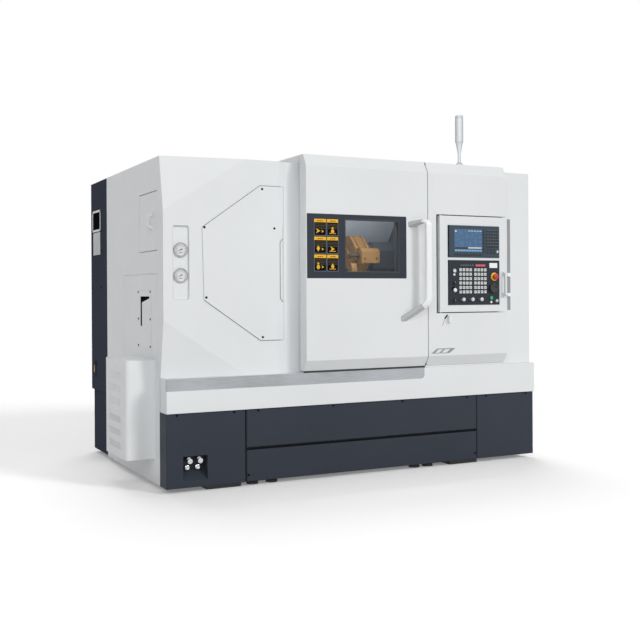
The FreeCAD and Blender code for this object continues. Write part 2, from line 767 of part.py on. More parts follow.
# Levelling pads under the base: wide packing plates and round screw feet.
plate_length = size("plate_length", 215.0, "wide levelling plate, length")
plate_width = size("plate_width", 110.0, "wide levelling plate, width")
plate_left_x = size("plate_left_x", 252.0, "left levelling plate, left end")
plate_right_in = size("plate_right_in", 667.0, "right levelling plate, left end from the right")
plate_front_y = size("plate_front_y", 34.0, "front levelling plates, front edge")
plate_back_in = size("plate_back_in", 130.0, "back levelling plates in from the bed's back")
screw_foot_radius = size("screw_foot_radius", 36.0, "round levelling foot, radius")
foot_cap = size("foot_cap", 12.0, "round levelling foot, thickness")
foot_stem = size("foot_stem", 16.0, "levelling screw, radius")
foot_places = (
    size("foot_one_x", 558.0, "levelling foot 1, along the length"),
    size("foot_two_x", 684.0, "levelling foot 2, along the length"),
    machine_length - size("foot_three_in", 917.0, "levelling foot 3, from the right end"),
    machine_length - size("foot_four_in", 815.0, "levelling foot 4, from the right end"),
)
foot_y = size("foot_y", 82.0, "round levelling feet behind the base front")
pieces = []
for across in (plate_left_x, machine_length - plate_right_in):
    for back in (plate_front_y, bed_back - plate_back_in):
        pieces.append(box("level_plate", (across, back, -floor_gap),
                          (across + plate_length, back + plate_width, 0.0)))
for across in foot_places:
    disc = prism("foot_disc", "Z", (across, foot_y, -floor_gap), screw_foot_radius, foot_cap,
                 small_sides)
    stem = prism("foot_stem", "Z", (across, foot_y, -floor_gap), foot_stem, floor_gap, 6)
    pieces.append(fuse("foot", [disc, stem]))
cabinet_foot_in = size("cabinet_foot_in", 90.0, "cabinet feet in from the corners")
for across in (cabinet_foot_in, cabinet_length - cabinet_foot_in):
    pieces.append(prism("cabinet_foot", "Z",
                        (across, machine_depth - cabinet_foot_in, -floor_gap),
                        screw_foot_radius, floor_gap, small_sides))
finish("levelling_pads", group("levelling_pads_set", pieces))

# ---------------------------------------------------------------- left front panel

panel_back_low = panel_setback + fold_low
panel_back_high = panel_setback + fold_high
body = make_body("front_panel_left")
pad(body, "YZ_Plane", 0.0, panel_end,
    [[(panel_setback, sill_top), (panel_back_low, sill_top), (panel_back_high, roof_height),
      (panel_setback, roof_height)]])
recess_back = panel_setback + recess_depth
panel_front_clear = panel_setback - cut_past
pocket(
    body,
    "XY_Plane",
    sill_top,
    roof_height - sill_top,
    [[(recess_start, panel_setback), (recess_floor, recess_back), (panel_end + cut_past, recess_back),
      (panel_end + cut_past, panel_front_clear), (recess_start, panel_front_clear)]],
)
gauge_left = size("gauge_left", 57.0, "gauge plate, left edge")
gauge_width = size("gauge_width", 99.0, "gauge plate, width")
gauge_low = size("gauge_low", 1073.0, "gauge plate, lower edge")
gauge_height = size("gauge_height", 424.0, "gauge plate, height")
gauge_depth = size("gauge_depth", 16.0, "gauge plate recess, depth")
gauge_round = size("gauge_round", 14.0, "gauge plate, corner radius")
gauge_right = gauge_left + gauge_width
gauge_high = gauge_low + gauge_height
pocket(body, "XZ_Plane", panel_setback, gauge_depth,
       [rounded(gauge_left, gauge_low, gauge_right, gauge_high, gauge_round, corner_steps)])
facet_spread = 4.0
facet_tool_depth = 400.0


def corner_tool(name, corner, along, up, back):
    """Tool that takes the panel's corner off on the plane through three points."""
    values = []
    for point in (along, up, back):
        values.append(FreeCAD.Vector(*[dim(number).value for number in point]))
    tip = FreeCAD.Vector(*[dim(number).value for number in corner])
    centre = (values[0] + values[1] + values[2]) * (1.0 / 3.0)
    away = (values[1] - values[0]).cross(values[2] - values[0])
    away.normalize()
    if away.dot(tip - centre) < 0:
        away = away * -1.0
    base = []
    for point in values:
        base.append(centre + (point - centre) * facet_spread)
    bottom = Part.Face(Part.makePolygon(base + [base[0]]))
    item = doc.addObject("Part::Feature", fresh(name))
    item.Shape = bottom.extrude(away * facet_tool_depth)
    return item


upper_tool = corner_tool(
    "upper_facet",
    (0.0, panel_setback, roof_height),
    (facet_run, panel_setback, roof_height),
    (0.0, panel_setback, roof_height - facet_up_drop),
    (0.0, panel_setback + facet_up_depth, roof_height),
)
lower_tool = corner_tool(
    "lower_facet",
    (0.0, panel_setback, sill_top),
    (facet_run, panel_setback, sill_top),
    (0.0, panel_setback, sill_top + facet_low_rise),
    (0.0, panel_setback + facet_low_depth, sill_top),
)
shaped = cut("front_panel_upper", body, upper_tool)
shaped = cut("front_panel_lower", shaped, lower_tool)
finish("front_panel_left", shaped)

# Service cover: a six-sided plate that follows the fold into the door recess.
service_thick = size("service_thick", 2.5, "service cover, thickness")
service_short = size("service_short", 26.0, "service cover short of the recess's floor")
service_right = recess_floor - service_short
service_high = (size("service_high_x", 599.0, "service cover, upper corner"),
                size("service_high", 1748.0, "service cover, upper corner height"))
service_low = (size("service_low_x", 599.0, "service cover, lower corner"),
               size("service_low", 826.0, "service cover, lower corner height"))
service_left_high = (size("service_left", 234.0, "service cover, left corner"),
                     size("service_left_high", 1491.0, "service cover, left corner height"))
service_left_low = (size("service_left_two", 244.0, "service cover, left lower corner"),
                    size("service_left_low", 1070.0, "service cover, left lower corner height"))
service_outline = [service_left_high, service_high, (service_right, service_high[1]),
                   (service_right, service_low[1]), service_low, service_left_low]
body = make_body("service_outline")
pad(body, "XZ_Plane", panel_setback - service_thick - cut_past,
    recess_depth + service_thick + cut_past * 2.0,
    [service_outline])
slot_in = size("slot_in", 20.0, "finger slot in from the service cover's right edge")
slot_start = service_right - slot_in
slot_width = size("slot_width", 14.0, "finger slot of the service cover, width")
slot_low = size("slot_low", 1054.0, "finger slot of the service cover, lower end")
slot_length = size("slot_length", 459.0, "finger slot of the service cover, length")
pocket(body, "XZ_Plane", panel_setback - service_thick - cut_past,
       recess_depth + service_thick + cut_past * 2.0,
       [rectangle(slot_start, slot_low, slot_start + slot_width, slot_low + slot_length)])
sheet_body = make_body("service_sheet")
front_face = panel_setback - service_thick
pad(sheet_body, "XY_Plane", sill_top, roof_height - sill_top,
    [[(service_left_high[0] - cut_past, front_face), (recess_start, front_face),
      (recess_floor, recess_back - service_thick), (recess_floor, recess_back),
      (recess_start, panel_setback), (service_left_high[0] - cut_past, panel_setback)]])
finish("service_cover", common("service_cover_part", body, sheet_body))

# Gauge plate with its two pressure gauges.
gauge_plate_thick = size("gauge_plate_thick", 4.0, "gauge plate, thickness")
body = make_body("gauge_plate")
gauge_floor = panel_setback + gauge_depth
pad(body, "XZ_Plane", gauge_floor - gauge_plate_thick, gauge_plate_thick,
    [rounded(gauge_left + fit_gap, gauge_low + fit_gap, gauge_right - fit_gap,
             gauge_high - fit_gap, gauge_round, corner_steps)])
finish("gauge_plate", body)
dial_radius = size("dial_radius", 42.0, "pressure gauge, radius")
dial_depth = size("dial_depth", 12.0, "pressure gauge, depth")
dial_rim = size("dial_rim", 5.0, "pressure gauge, rim width")
dial_sink = size("dial_sink", 3.0, "pressure gauge, face behind the rim")
dial_high = size("dial_high", 1359.0, "upper pressure gauge, height")
dial_pitch = size("dial_pitch", 147.0, "pitch of the pressure gauges")
dial_back = gauge_floor - gauge_plate_thick
pieces = []
for number in range(2):
    middle = (gauge_left + gauge_width / 2.0, dial_high - dial_pitch * number)
    case = make_body("dial_case")
    pad(case, "XZ_Plane", dial_back - dial_depth, dial_depth,
        [polygon(middle, dial_radius, round_sides)])
    pocket(case, "XZ_Plane", dial_back - dial_depth - cut_past, dial_sink + cut_past,
           [polygon(middle, dial_radius - dial_rim, round_sides)])
    pieces.append(case)
finish("pressure_gauges", group("pressure_gauges_set", pieces))

# ---------------------------------------------------------------- left side

hatch_back = hatch_front + hatch_width
hatch_high = hatch_low + hatch_height
body = make_body("side_panel")
side_gap = size("side_gap", 2.0, "side panel before the rear cabinet")
side_end = cabinet_start - side_gap
pad(
    body,
    "YZ_Plane",
    0.0,
    side_sheet,
    [[(corner_return, 0.0), (side_end, 0.0), (side_end, roof_height),
      (panel_back_high, roof_height), (panel_back_low, sill_top), (corner_return, sill_top)]],
)
pocket(body, "YZ_Plane", -cut_past, hatch_thick + hatch_swing_gap + cut_past,
       [rectangle(hatch_front - hatch_gap, hatch_low - hatch_gap, hatch_back + hatch_gap,
                  hatch_high + hatch_gap)])
pocket(body, "YZ_Plane", -cut_past, side_sheet + cut_past * 2.0,
       [rectangle(hatch_front + hatch_lip, hatch_low + hatch_lip, hatch_back - hatch_lip,
                  hatch_high - hatch_lip)])
groove_width = size("groove_width", 4.0, "joint lines of the side panel, width")
groove_depth = size("groove_depth", 3.0, "joint lines of the side panel, depth")
lower_door_high = size("lower_door_high", 1222.0, "joint line under the hatch, height")
lower_door_back = size("lower_door_back", 856.0, "joint line under the hatch, back end")
groove_top = lower_door_high + groove_width
pocket(body, "YZ_Plane", -cut_past, groove_depth + cut_past,
       [[(hatch_front, sill_top), (hatch_front + groove_width, sill_top),
         (hatch_front + groove_width, lower_door_high),
         (lower_door_back - groove_width, lower_door_high),
         (lower_door_back - groove_width, groove_width), (lower_door_back, groove_width),
         (lower_door_back, groove_top), (hatch_front, groove_top)]])
plate_front = size("plate_front", 272.0, "slotted side plate, front edge")
plate_span = size("plate_span", 264.0, "slotted side plate, width")
plate_low = size("plate_low", 786.0, "slotted side plate, lower edge")
plate_tall = size("plate_tall", 342.0, "slotted side plate, height")
plate_sheet = size("plate_sheet", 3.0, "slotted side plate, thickness")
slit_in = size("slit_in", 28.0, "slit in from the side plate's front edge")
slit_front = plate_front + slit_in
slit_span = size("slit_span", 184.0, "slit of the side plate, width")
slit_back = slit_front + slit_span
slit_drop = size("slit_drop", 36.0, "slit of the side plate below its top")
slit_high = plate_low + plate_tall - slit_drop
slit_narrow = size("slit_narrow", 12.0, "slit of the side plate, narrow end")
slit_wide = size("slit_wide", 36.0, "slit of the side plate, wide end")
slit_tall = size("slit_tall", 179.0, "slit of the side plate, height")
slit_low = slit_high - slit_tall
slit_leg = size("slit_leg", 34.0, "slit of the side plate, upright leg width")
slit_outline = [
    (slit_front, slit_high), (slit_back, slit_high), (slit_back, slit_low),
    (slit_back - slit_leg, slit_low), (slit_back - slit_leg, slit_high - slit_wide),
    (slit_front, slit_high - slit_narrow),
]
slit_depth = size("slit_depth", 22.0, "depth behind the side plate's slit")
pocket(body, "YZ_Plane", -cut_past, slit_depth + cut_past, [slit_outline])
pin_spot = (hatch_pin_in, hatch_back - hatch_pin_in)
pad(body, "XY_Plane", hatch_low - hatch_gap, hatch_height + hatch_gap * 2.0, [],
    [(pin_spot, hatch_pin_radius)])
finish("side_panel", body)
body = make_body("side_plate")
pad(body, "YZ_Plane", -plate_sheet, plate_sheet,
    [rectangle(plate_front, plate_low, plate_front + plate_span, plate_low + plate_tall),
     slit_outline])
finish("side_plate", body)

# Side hatch with its grab handle.
body = make_body("side_hatch")
pad(body, "YZ_Plane", 0.0, hatch_thick,
    [rectangle(hatch_front, hatch_low, hatch_back, hatch_high)])
hatch_bevel = size("hatch_bevel", 4.0, "bent edges of the side hatch")


def is_hatch_edge(middle, along, length):
    return near(middle.x, 0.0)


soften(body, hatch_bevel, is_hatch_edge, "PartDesign::Chamfer")
bar = hatch_grip_bar
grip_back = hatch_front + hatch_grip_in
hatch_grip_low = hatch_low + hatch_grip_up
grip_end = hatch_grip_low + hatch_grip_length
pad(
    body,
    "XZ_Plane",
    grip_back,
    bar,
    [[(0.0, hatch_grip_low), (-hatch_grip_reach, hatch_grip_low + bar),
      (-hatch_grip_reach, grip_end - bar), (0.0, grip_end), (0.0, grip_end - bar * 1.4),
      (-hatch_grip_reach + bar, grip_end - bar * 2.0), (-hatch_grip_reach + bar,
                                                       hatch_grip_low + bar * 2.0),
      (0.0, hatch_grip_low + bar * 1.4)]],
)
hinge_hole = round_clear(pin_spot, hatch_pin_radius + run_gap, small_sides)
pocket(body, "XY_Plane", hatch_low - cut_past, hatch_height + cut_past * 2.0, [hinge_hole])
finish("side_hatch", body)

# Pump cover: a box on the left side with a rounded upright edge and six banks of slots.
body = make_body("pump_cover")
pump_back = pump_front + pump_length
pad(body, "XY_Plane", pump_low, pump_high - pump_low,
    [rectangle(-pump_reach, pump_front, 0.0, pump_back)])


def is_pump_edge(middle, along, length):
    return near(middle.x, -pump_reach) and near(middle.y, pump_front) and abs(along.z) > 0.9


soften(body, pump_round, is_pump_edge)
louvre_in = size("louvre_in", 108.0, "louvres in from the pump cover's front side")
louvre_front = pump_front + louvre_in
louvre_length = size("louvre_length", 17.0, "louvre slot, length")
louvre_pitch = size("louvre_pitch", 28.0, "louvre slots, pitch")
louvre_height = size("louvre_height", 38.0, "louvre slot, height")
louvre_depth = size("louvre_depth", 5.0, "louvre slot, depth")
louvre_lean = size("louvre_lean", 6.0, "louvre slot, lean")
louvre_rise = size("louvre_rise", 77.0, "pitch of the louvre banks")
bank_gap = size("bank_gap", 27.0, "extra gap between the two sets of banks")
louvre_up = size("louvre_up", 51.0, "lowest louvre bank above the pump cover's underside")
louvre_low = pump_low + louvre_up
for bank in range(6):
    low = louvre_low + louvre_rise * bank
    if bank >= 3:
        low = low + bank_gap
    slot = pocket(
        body,
        "YZ_Plane",
        -pump_reach - cut_past,
        louvre_depth + cut_past,
        [[(louvre_front, low), (louvre_front + louvre_length, low),
          (louvre_front + louvre_length + louvre_lean, low + louvre_height),
          (louvre_front + louvre_lean, low + louvre_height)]],
    )
    repeat(body, slot, "Y_Axis", louvre_pitch, 9)
finish("pump_cover", body)

# ---------------------------------------------------------------- rear cabinet

body = make_body("rear_cabinet")
pad(body, "XY_Plane", cabinet_seam, roof_height - cabinet_seam,
    [rectangle(0.0, cabinet_start, cabinet_length, machine_depth)])
pad(body, "XY_Plane", 0.0, cabinet_seam,
    [rectangle(cabinet_step, cabinet_start, cabinet_length - cabinet_step,
               machine_depth - cabinet_step)])
window_in = size("window_in", 172.0, "cabinet window behind the cabinet's front")
window_front = cabinet_start + window_in
window_span = size("window_span", 228.0, "cabinet window, width")
window_low = size("window_low", 1550.0, "cabinet window, lower edge")
window_tall = size("window_tall", 151.0, "cabinet window, height")
window_sink = size("window_sink", 10.0, "cabinet window, recess depth")
window_back = window_front + window_span
window_high = window_low + window_tall
pocket(body, "YZ_Plane", -cut_past, window_sink + cut_past,
       [rectangle(window_front, window_low, window_back, window_high)])
lock_in = size("lock_in", 322.0, "cabinet lock behind the cabinet's front")
lock_back = cabinet_start + lock_in
lock_high = size("lock_high", 575.0, "cabinet lock recess, height")
lock_tall = size("lock_tall", 120.0, "cabinet lock recess, height of the oval")
lock_wide = size("lock_wide", 70.0, "cabinet lock recess, width")
lock_sink = size("lock_sink", 20.0, "cabinet lock recess, depth")
lock_half = lock_wide / 2.0
lock_flat = size("lock_flat", 5.0, "cabinet lock recess, flat at the ends of its oval")
lock_steps = 4
pocket(body, "YZ_Plane", -cut_past, lock_sink + cut_past,
       [rounded(lock_back - lock_half, lock_high - lock_tall / 2.0, lock_back + lock_half,
                lock_high + lock_tall / 2.0, lock_half - lock_flat, lock_steps)])
door_seams = size("door_seams", 4, "upright joint lines on the back of the cabinet")
seam_in = size("seam_in", 20.0, "joint lines of the cabinet in from its edges")
seam_pitch = cabinet_length / door_seams
seam = pocket(body, "XZ_Plane", machine_depth - groove_depth, groove_depth + cut_past,
              [rectangle(seam_pitch, cabinet_seam + seam_in, seam_pitch + groove_width,
                         roof_height - seam_in)])
repeat(body, seam, "X_Axis", seam_pitch, 3)
finish("rear_cabinet", body)

# Cabinet window: a white surround with a dark pane, and the smooth plate below it.
window_floor = size("window_floor", 3.0, "cabinet window pane, thickness")
window_rim = size("window_rim", 16.0, "cabinet window surround, width")
surround = box("window_block", (0.0, window_front + fit_gap, window_low + fit_gap),
               (window_sink, window_back - fit_gap, window_high - fit_gap))
well = box("window_well", (-cut_past, window_front + window_rim, window_low + window_rim),
           (window_sink - window_floor, window_back - window_rim, window_high - window_rim))
finish("cabinet_window", cut("cabinet_window_part", surround, well))

# ---------------------------------------------------------------- roof and right end

body = make_body("roof_panel")
pad(body, "XY_Plane", roof_height - roof_sheet, roof_sheet,
    [rectangle(side_sheet, panel_back_high, door_left, cabinet_start)])
finish("roof_panel", body)

body = make_body("roof_hood")
hood_left = door_left
hood_seam = size("hood_seam", 300.0, "front strip of the hood, depth")
hood_set = size("hood_set", 2.0, "hood behind the face of what it caps")
hood_front = panel_setback + hood_set
box_depth = size("box_depth", 250.0, "control box, back face behind the base front")


def hood_outline(left, front):
    return [(left, front), (box_left, front), (box_left, box_depth), (box_end, box_depth),
            (box_end, cabinet_start), (left, cabinet_start)]


pad(body, "XY_Plane", roof_height, hood_rise, [hood_outline(hood_left, hood_front)])
lining = hood_outline(panel_end + fit_gap, recess_back + hood_set)
lining[0] = (door_left, panel_back_high + fit_gap)
lining.insert(1, (panel_end + fit_gap, panel_back_high + fit_gap))
lining.insert(2, (panel_end + fit_gap, recess_back + hood_set))
lining[-1] = (door_left, cabinet_start)
pad(body, "XY_Plane", roof_height - roof_sheet, roof_sheet, [lining])
pocket(body, "XY_Plane", hood_height - groove_depth, groove_depth + cut_past,
       [rectangle(hood_left - cut_past, hood_seam, box_end + cut_past, hood_seam + groove_width)])
finish("roof_hood", body)

body = make_body("right_enclosure")
pad(body, "XY_Plane", sill_top, end_height - sill_top,
    [rectangle(box_end, panel_setback, machine_length, cabinet_start)])
back_gap = size("back_gap", 2.0, "back wall of the machine behind the bed casting")
pad(body, "XY_Plane", sill_top, roof_height - roof_sheet - sill_top,
    [rectangle(chamber_right + guard_sheet, bed_back + back_gap, box_end, cabinet_start)])
pad(body, "XY_Plane", base_height, sill_height,
    [rectangle(box_end, sill_back, machine_length, cabinet_start)])
finish("right_enclosure", body)

# ---------------------------------------------------------------- control box

# The box carries on the door's profile. A pocket open at its right end holds the
# swinging operator panel.
body = make_body("control_box")
pad(
    body,
    "YZ_Plane",
    box_left,
    box_end - box_left,
    [[(box_depth, door_low), (door_middle, door_low), (door_front, door_low + bevel_low),
      (door_front, hood_height - bevel_high), (door_middle, hood_height),
      (box_depth, hood_height)]],
)
pocket_back = door_front + pocket_depth
pocket(body, "YZ_Plane", pocket_left, box_end - pocket_left + cut_past,
       [rectangle(door_front - cut_past, pocket_low, pocket_back, pocket_high)])
panel_front = door_front + panel_sink
pin_radius = size("pin_radius", 6.0, "panel hinge pin, radius")
pin_length = size("pin_length", 30.0, "panel hinge pin, length in the panel")
pin_in = size("pin_in", 12.0, "panel hinge pin in from the panel's corner")
pin_x = panel_left + pin_in
pin_y = panel_front + pin_in
pin_total = panel_edge_gap + pin_length - pin_end
for low in (pocket_low, pocket_high - pin_total):
    pad(body, "XY_Plane", low, pin_total, [], [((pin_x, pin_y), pin_radius)])
latch_x = display_left
latch_drop = size("latch_drop", 64.0, "panel latch below the pocket")
latch_low = pocket_low - latch_drop
latch_tall = size("latch_tall", 45.0, "panel latch, height")
latch_wide = size("latch_wide", 16.0, "panel latch, width")
latch_proud = size("latch_proud", 7.0, "panel latch before the box")
pad(body, "XZ_Plane", door_front - latch_proud, latch_proud,
    [rectangle(latch_x - latch_wide / 2.0, latch_low, latch_x + latch_wide / 2.0,
               latch_low + latch_tall)])
port_sheet = size("port_sheet", 1.6, "port plate, thickness")
port_in = size("port_in", 12.0, "port plate in from the box's left side")
port_left = box_left + port_in
port_up = size("port_up", 14.0, "port plate above the lower sloping face")
port_low = door_low + bevel_low + port_up
port_tall = size("port_tall", 35.0, "port plate, height")
port_wide = size("port_wide", 146.0, "port plate, width")
port_lean = size("port_lean", 52.0, "port plate, lean")
pad(body, "XZ_Plane", door_front - port_sheet, port_sheet,
    [[(port_left, port_low), (port_left + port_wide, port_low),
      (port_left + port_wide + port_lean, port_low + port_tall),
      (port_left + port_lean, port_low + port_tall)]])
finish("control_box", body)

# ---------------------------------------------------------------- signal lamp

body = make_body("lamp_base")
lamp_centre = (lamp_x, lamp_y)
flange_more = size("flange_more", 1.0, "lamp flange beyond the lamp's radius")
flange_slope = size("flange_slope", 12.0, "lamp flange, sloping upper edge")
shade_height = size("shade_height", 24.0, "cone under the lamp, height with its rim")
shade_step = size("shade_step", 0.5, "flat ring between the pole and the cone above it")
flange_radius = lamp_radius + flange_more
flange_top = hood_height + flange_height
cone_foot = lamp_tube_low - shade_height
pad(body, "XY_Plane", hood_height, flange_height, [polygon(lamp_centre, flange_radius, lamp_sides)])
bevel_level(body, "Z", flange_top, flange_slope)
pad(body, "XY_Plane", flange_top, cone_foot - flange_top,
    [polygon(lamp_centre, pole_radius, small_sides)])
pad(body, "XY_Plane", cone_foot, shade_height,
    [polygon(lamp_centre, lamp_radius, lamp_sides)])


def is_shade_edge(middle, along, length):
    beside = abs(middle.x - lamp_x.value) + abs(middle.y - lamp_y.value) > pole_radius.value * 1.5
    return near(middle.z, cone_foot) and beside


soften(body, lamp_radius - pole_radius - shade_step, is_shade_edge, "PartDesign::Chamfer")
finish("lamp_base", body)
body = make_body("lamp_tube")
cap_height = size("lamp_cap", 20.0, "height of the lamp's cap")
cap_step = size("lamp_cap_step", 2.0, "lamp cap inside the tube's radius")
cap_bevel = size("lamp_cap_bevel", 4.0, "bevelled top of the lamp's cap")
cap_radius_low = lamp_radius - cap_step
cap_foot = lamp_top - cap_height
pad(body, "XY_Plane", lamp_tube_low, cap_foot - lamp_tube_low,
    [polygon(lamp_centre, lamp_radius, lamp_sides)])
pad(body, "XY_Plane", cap_foot, cap_height, [polygon(lamp_centre, cap_radius_low, lamp_sides)])
bevel_level(body, "Z", lamp_top, cap_bevel)
finish("lamp_tube", body)

# ---------------------------------------------------------------- cover screws

screw_radius = size("screw_radius", 7.0, "cover screw head, radius")
screw_head = size("screw_head", 2.0, "cover screw head, height")
screw_drop = size("screw_drop", 12.0, "upper cover screws below the top of the covers")
screw_row = base_height - screw_drop
screw_edge = size("screw_edge", 64.0, "end cover screws in from the ends")
screw_pitch = size("screw_pitch", 500.0, "pitch of the centre cover screws")
screw_seam = size("screw_seam", 74.0, "cover screws beside a seam")
cover_middle = (seam_left + seam_right) / 2.0
screw_low = size("screw_low", 40.0, "height of the lower cover screws")
screw_in = size("screw_in", 12.0, "lower cover screws in from the seams")
front_screws = [
    (screw_edge, screw_row), (seam_left - screw_seam, screw_row),
    (cover_middle - screw_pitch * 1.5, screw_row), (cover_middle - screw_pitch * 0.5, screw_row),
    (cover_middle + screw_pitch * 0.5, screw_row), (cover_middle + screw_pitch * 1.5, screw_row),
    (seam_right + screw_seam, screw_row), (machine_length - screw_edge, screw_row),
    (cover_start + screw_in, screw_low), (cover_end - screw_in, screw_low),
]
pieces = []
for across, height in front_screws:
    pieces.append(prism("screw", "Y", (across, -screw_head, height), screw_radius, screw_head, 6))
service_in = size("service_in", 14.0, "service cover screws in from its edge")
service_lift = size("service_lift", 215.0, "fifth cover screw above the middle of the left edge")
service_middle = (service_left_high[1] + service_left_low[1]) / 2.0 + service_lift
service_screws = [
    (service_left_high[0] + service_in, service_left_high[1]),
    (service_high[0] + service_in, service_high[1] - service_in * 1.4),
    (service_left_low[0] + service_in, service_left_low[1] + service_in),
    (service_low[0] + service_in, service_low[1] + service_in * 1.4),
    (recess_start - service_in * 2.0, service_middle),
]
service_head = size("service_head", 1.2, "service cover screw head, height")
for across, height in service_screws:
    pieces.append(prism("screw", "Y", (across, front_face - service_head, height),
                        screw_radius, service_head, 6))
side_in = size("side_in", 9.0, "slotted plate screws in from its edge")
for back in (plate_front + side_in, plate_front + plate_span - side_in):
    for step in range(3):
        height = plate_low + side_in + (plate_tall - side_in * 2.0) * (step * 0.5)
        pieces.append(prism("screw", "X", (-plate_sheet - screw_head, back, height),
                            screw_radius, screw_head, 6))
cabinet_rows = (
    size("cabinet_screw_one", 1679.0, "cabinet side screws, first row"),
    size("cabinet_screw_two", 1547.0, "cabinet side screws, second row"),
    size("cabinet_screw_three", 1413.0, "cabinet side screws, third row"),
    size("cabinet_screw_four", 1153.0, "cabinet side screws, fourth row"),
)
cabinet_screw_in = size("cabinet_screw_in", 154.0, "cabinet side screws, front column")
cabinet_screw_edge = size("cabinet_screw_edge", 25.0, "cabinet side screws, back column")
cabinet_screw_front = cabinet_start + cabinet_screw_in
cabinet_screw_back = machine_depth - cabinet_screw_edge
for back in (cabinet_screw_front, cabinet_screw_back):
    for height in cabinet_rows:
        pieces.append(prism("screw", "X", (-screw_head, back, height), screw_radius,
                            screw_head, 6))
finish("cover_screws", group("cover_screws_set", pieces))

# ---------------------------------------------------------------- sliding door

door_profile = [
    (door_back, door_low), (door_middle, door_low), (door_front, door_low + bevel_low),
    (door_front, hood_height - bevel_high), (door_middle, hood_height), (door_back, hood_height),
]
body = make_body("door_shell")
pad(body, "YZ_Plane", door_left, door_width, [door_profile])
pane_left = glass_left - glass_lap
pane_right = glass_left + glass_width + glass_lap
pane_low = glass_low - glass_lap
pane_high = glass_low + glass_height + glass_lap
pocket(body, "XZ_Plane", door_front - cut_past, door_back - door_front + cut_past * 2.0,
       [rectangle(pane_left, pane_low, pane_right, pane_high)])
pocket(body, "XZ_Plane", door_front - cut_past, frame_thick + cut_past,
       [rectangle(frame_left, frame_low, frame_right, frame_high)])
shoe_in = size("shoe_in", 90.0, "door shoes in from the door's ends")
shoe_length = size("shoe_length", 70.0, "door shoe, length")
shoe_front = size("shoe_front", -4.0, "door shoe, front face behind the base front")
shoe_width = size("shoe_width", 22.0, "door shoe, width")
for start in (door_left + shoe_in, door_right - shoe_in - shoe_length):
    pad(body, "XY_Plane", sill_top + fit_gap, door_gap - fit_gap,
        [rectangle(start, shoe_front, start + shoe_length, shoe_front + shoe_width)])
finish("door_shell", body)

body = make_body("window_frame")
frame_round = size("frame_round", 8.0, "window surround, corner radius")
pad(body, "XZ_Plane", door_front, frame_thick,
    [rounded(frame_left + fit_gap, frame_low + fit_gap, frame_right - fit_gap,
             frame_high - fit_gap, frame_round, corner_steps),
     rectangle(glass_left, glass_low, glass_left + glass_width, glass_low + glass_height)])


for column in range(2):
    plate = pocket(
        body,
        "XZ_Plane",
        door_front - cut_past,
        warn_sink + cut_past,
        [rectangle(warn_left + warn_pitch_across * column, warn_low,
                   warn_left + warn_pitch_across * column + warn_width, warn_low + warn_height)],
    )
    repeat(body, plate, "Z_Axis", warn_pitch_up, 3)
finish("window_frame", body)
body = make_body("window_glass")
pad(body, "XZ_Plane", door_front + frame_thick, glass_thick,
    [rectangle(pane_left + fit_gap, pane_low + fit_gap, pane_right - fit_gap,
               pane_high - fit_gap)])
finish("window_glass", body)

# Door handle: a rectangular bar swept from the lower foot, up the grip, to the upper foot.
grip_y = door_front - grip_reach
foot_in = door_front + grip_thick
# The feet are carried on past the door's face, so that the bar can be cut flush.
reach_ratio = (grip_y.value - foot_in.value) / (grip_y.value - door_front.value)

route = [
    (grip_x - foot_low_in * reach_ratio, foot_in, grip_low - foot_low_drop * reach_ratio),
    (grip_x, grip_y, grip_low),
    (grip_x, grip_y, grip_high),
    (grip_x - foot_high_in * reach_ratio, foot_in, grip_high - foot_high_drop * reach_ratio),
]
corners = []
for point in route:
    corners.append(FreeCAD.Vector(*[dim(number).value for number in point]))
spine = doc.addObject("Part::Feature", "handle_route")
spine.Shape = Part.makePolygon(corners)
section = doc.addObject("Part::Feature", "handle_section")
half_wide = grip_wide.value / 2.0
half_thick = grip_thick.value / 2.0
first_leg = corners[1] - corners[0]
first_leg.normalize()
upright = FreeCAD.Vector(0, 0, 1)
turn = FreeCAD.Rotation(upright, first_leg)
section_points = []
for across, out in ((-half_wide, -half_thick), (half_wide, -half_thick), (half_wide, half_thick),
                    (-half_wide, half_thick), (-half_wide, -half_thick)):
    section_points.append(corners[0] + turn.multVec(FreeCAD.Vector(across, out, 0)))
section.Shape = Part.makePolygon(section_points)
handle_sweep = doc.addObject("Part::Sweep", "handle_sweep")
handle_sweep.Sections = [section]
handle_sweep.Spine = (spine, ["Edge1", "Edge2", "Edge3"])
handle_sweep.Solid = True
handle_sweep.Frenet = False
handle_sweep.Transition = "Right corner"
behind_face = box("handle_trim", (door_left, door_front, door_low),
                  (door_right, door_back, hood_height))
handle = cut("door_handle_part", handle_sweep, behind_face)
finish("door_handle", handle)

# ---------------------------------------------------------------- operator panel

strip_left = box_end - pull_strip
body = make_body("panel_frame")
pad(body, "XZ_Plane", panel_front, panel_deep,
    [rectangle(panel_left, panel_low, box_end, panel_high)])
strip_sink = size("strip_sink", 6.0, "grey grip strip behind the panel front")
pocket(body, "XZ_Plane", panel_front - cut_past, strip_sink + cut_past,
       [rectangle(strip_left, panel_low - cut_past, box_end + cut_past, panel_high + cut_past)])
board_sink = size("board_sink", 5.0, "boards let into the panel, depth")
for low, high in ((display_low, display_high), (keys_low, keys_high)):
    pocket(body, "XZ_Plane", panel_front - cut_past, board_sink + cut_past,
           [rectangle(display_left - fit_gap, low - fit_gap, display_right + fit_gap,
                      high + fit_gap)])
pin_hole = round_clear((pin_x, pin_y), pin_radius + run_gap, small_sides)
pocket(body, "XY_Plane", panel_low - cut_past, pin_length + cut_past, [pin_hole])
pocket(body, "XY_Plane", panel_high - pin_length, pin_length + cut_past, [pin_hole])
finish("panel_frame", body)

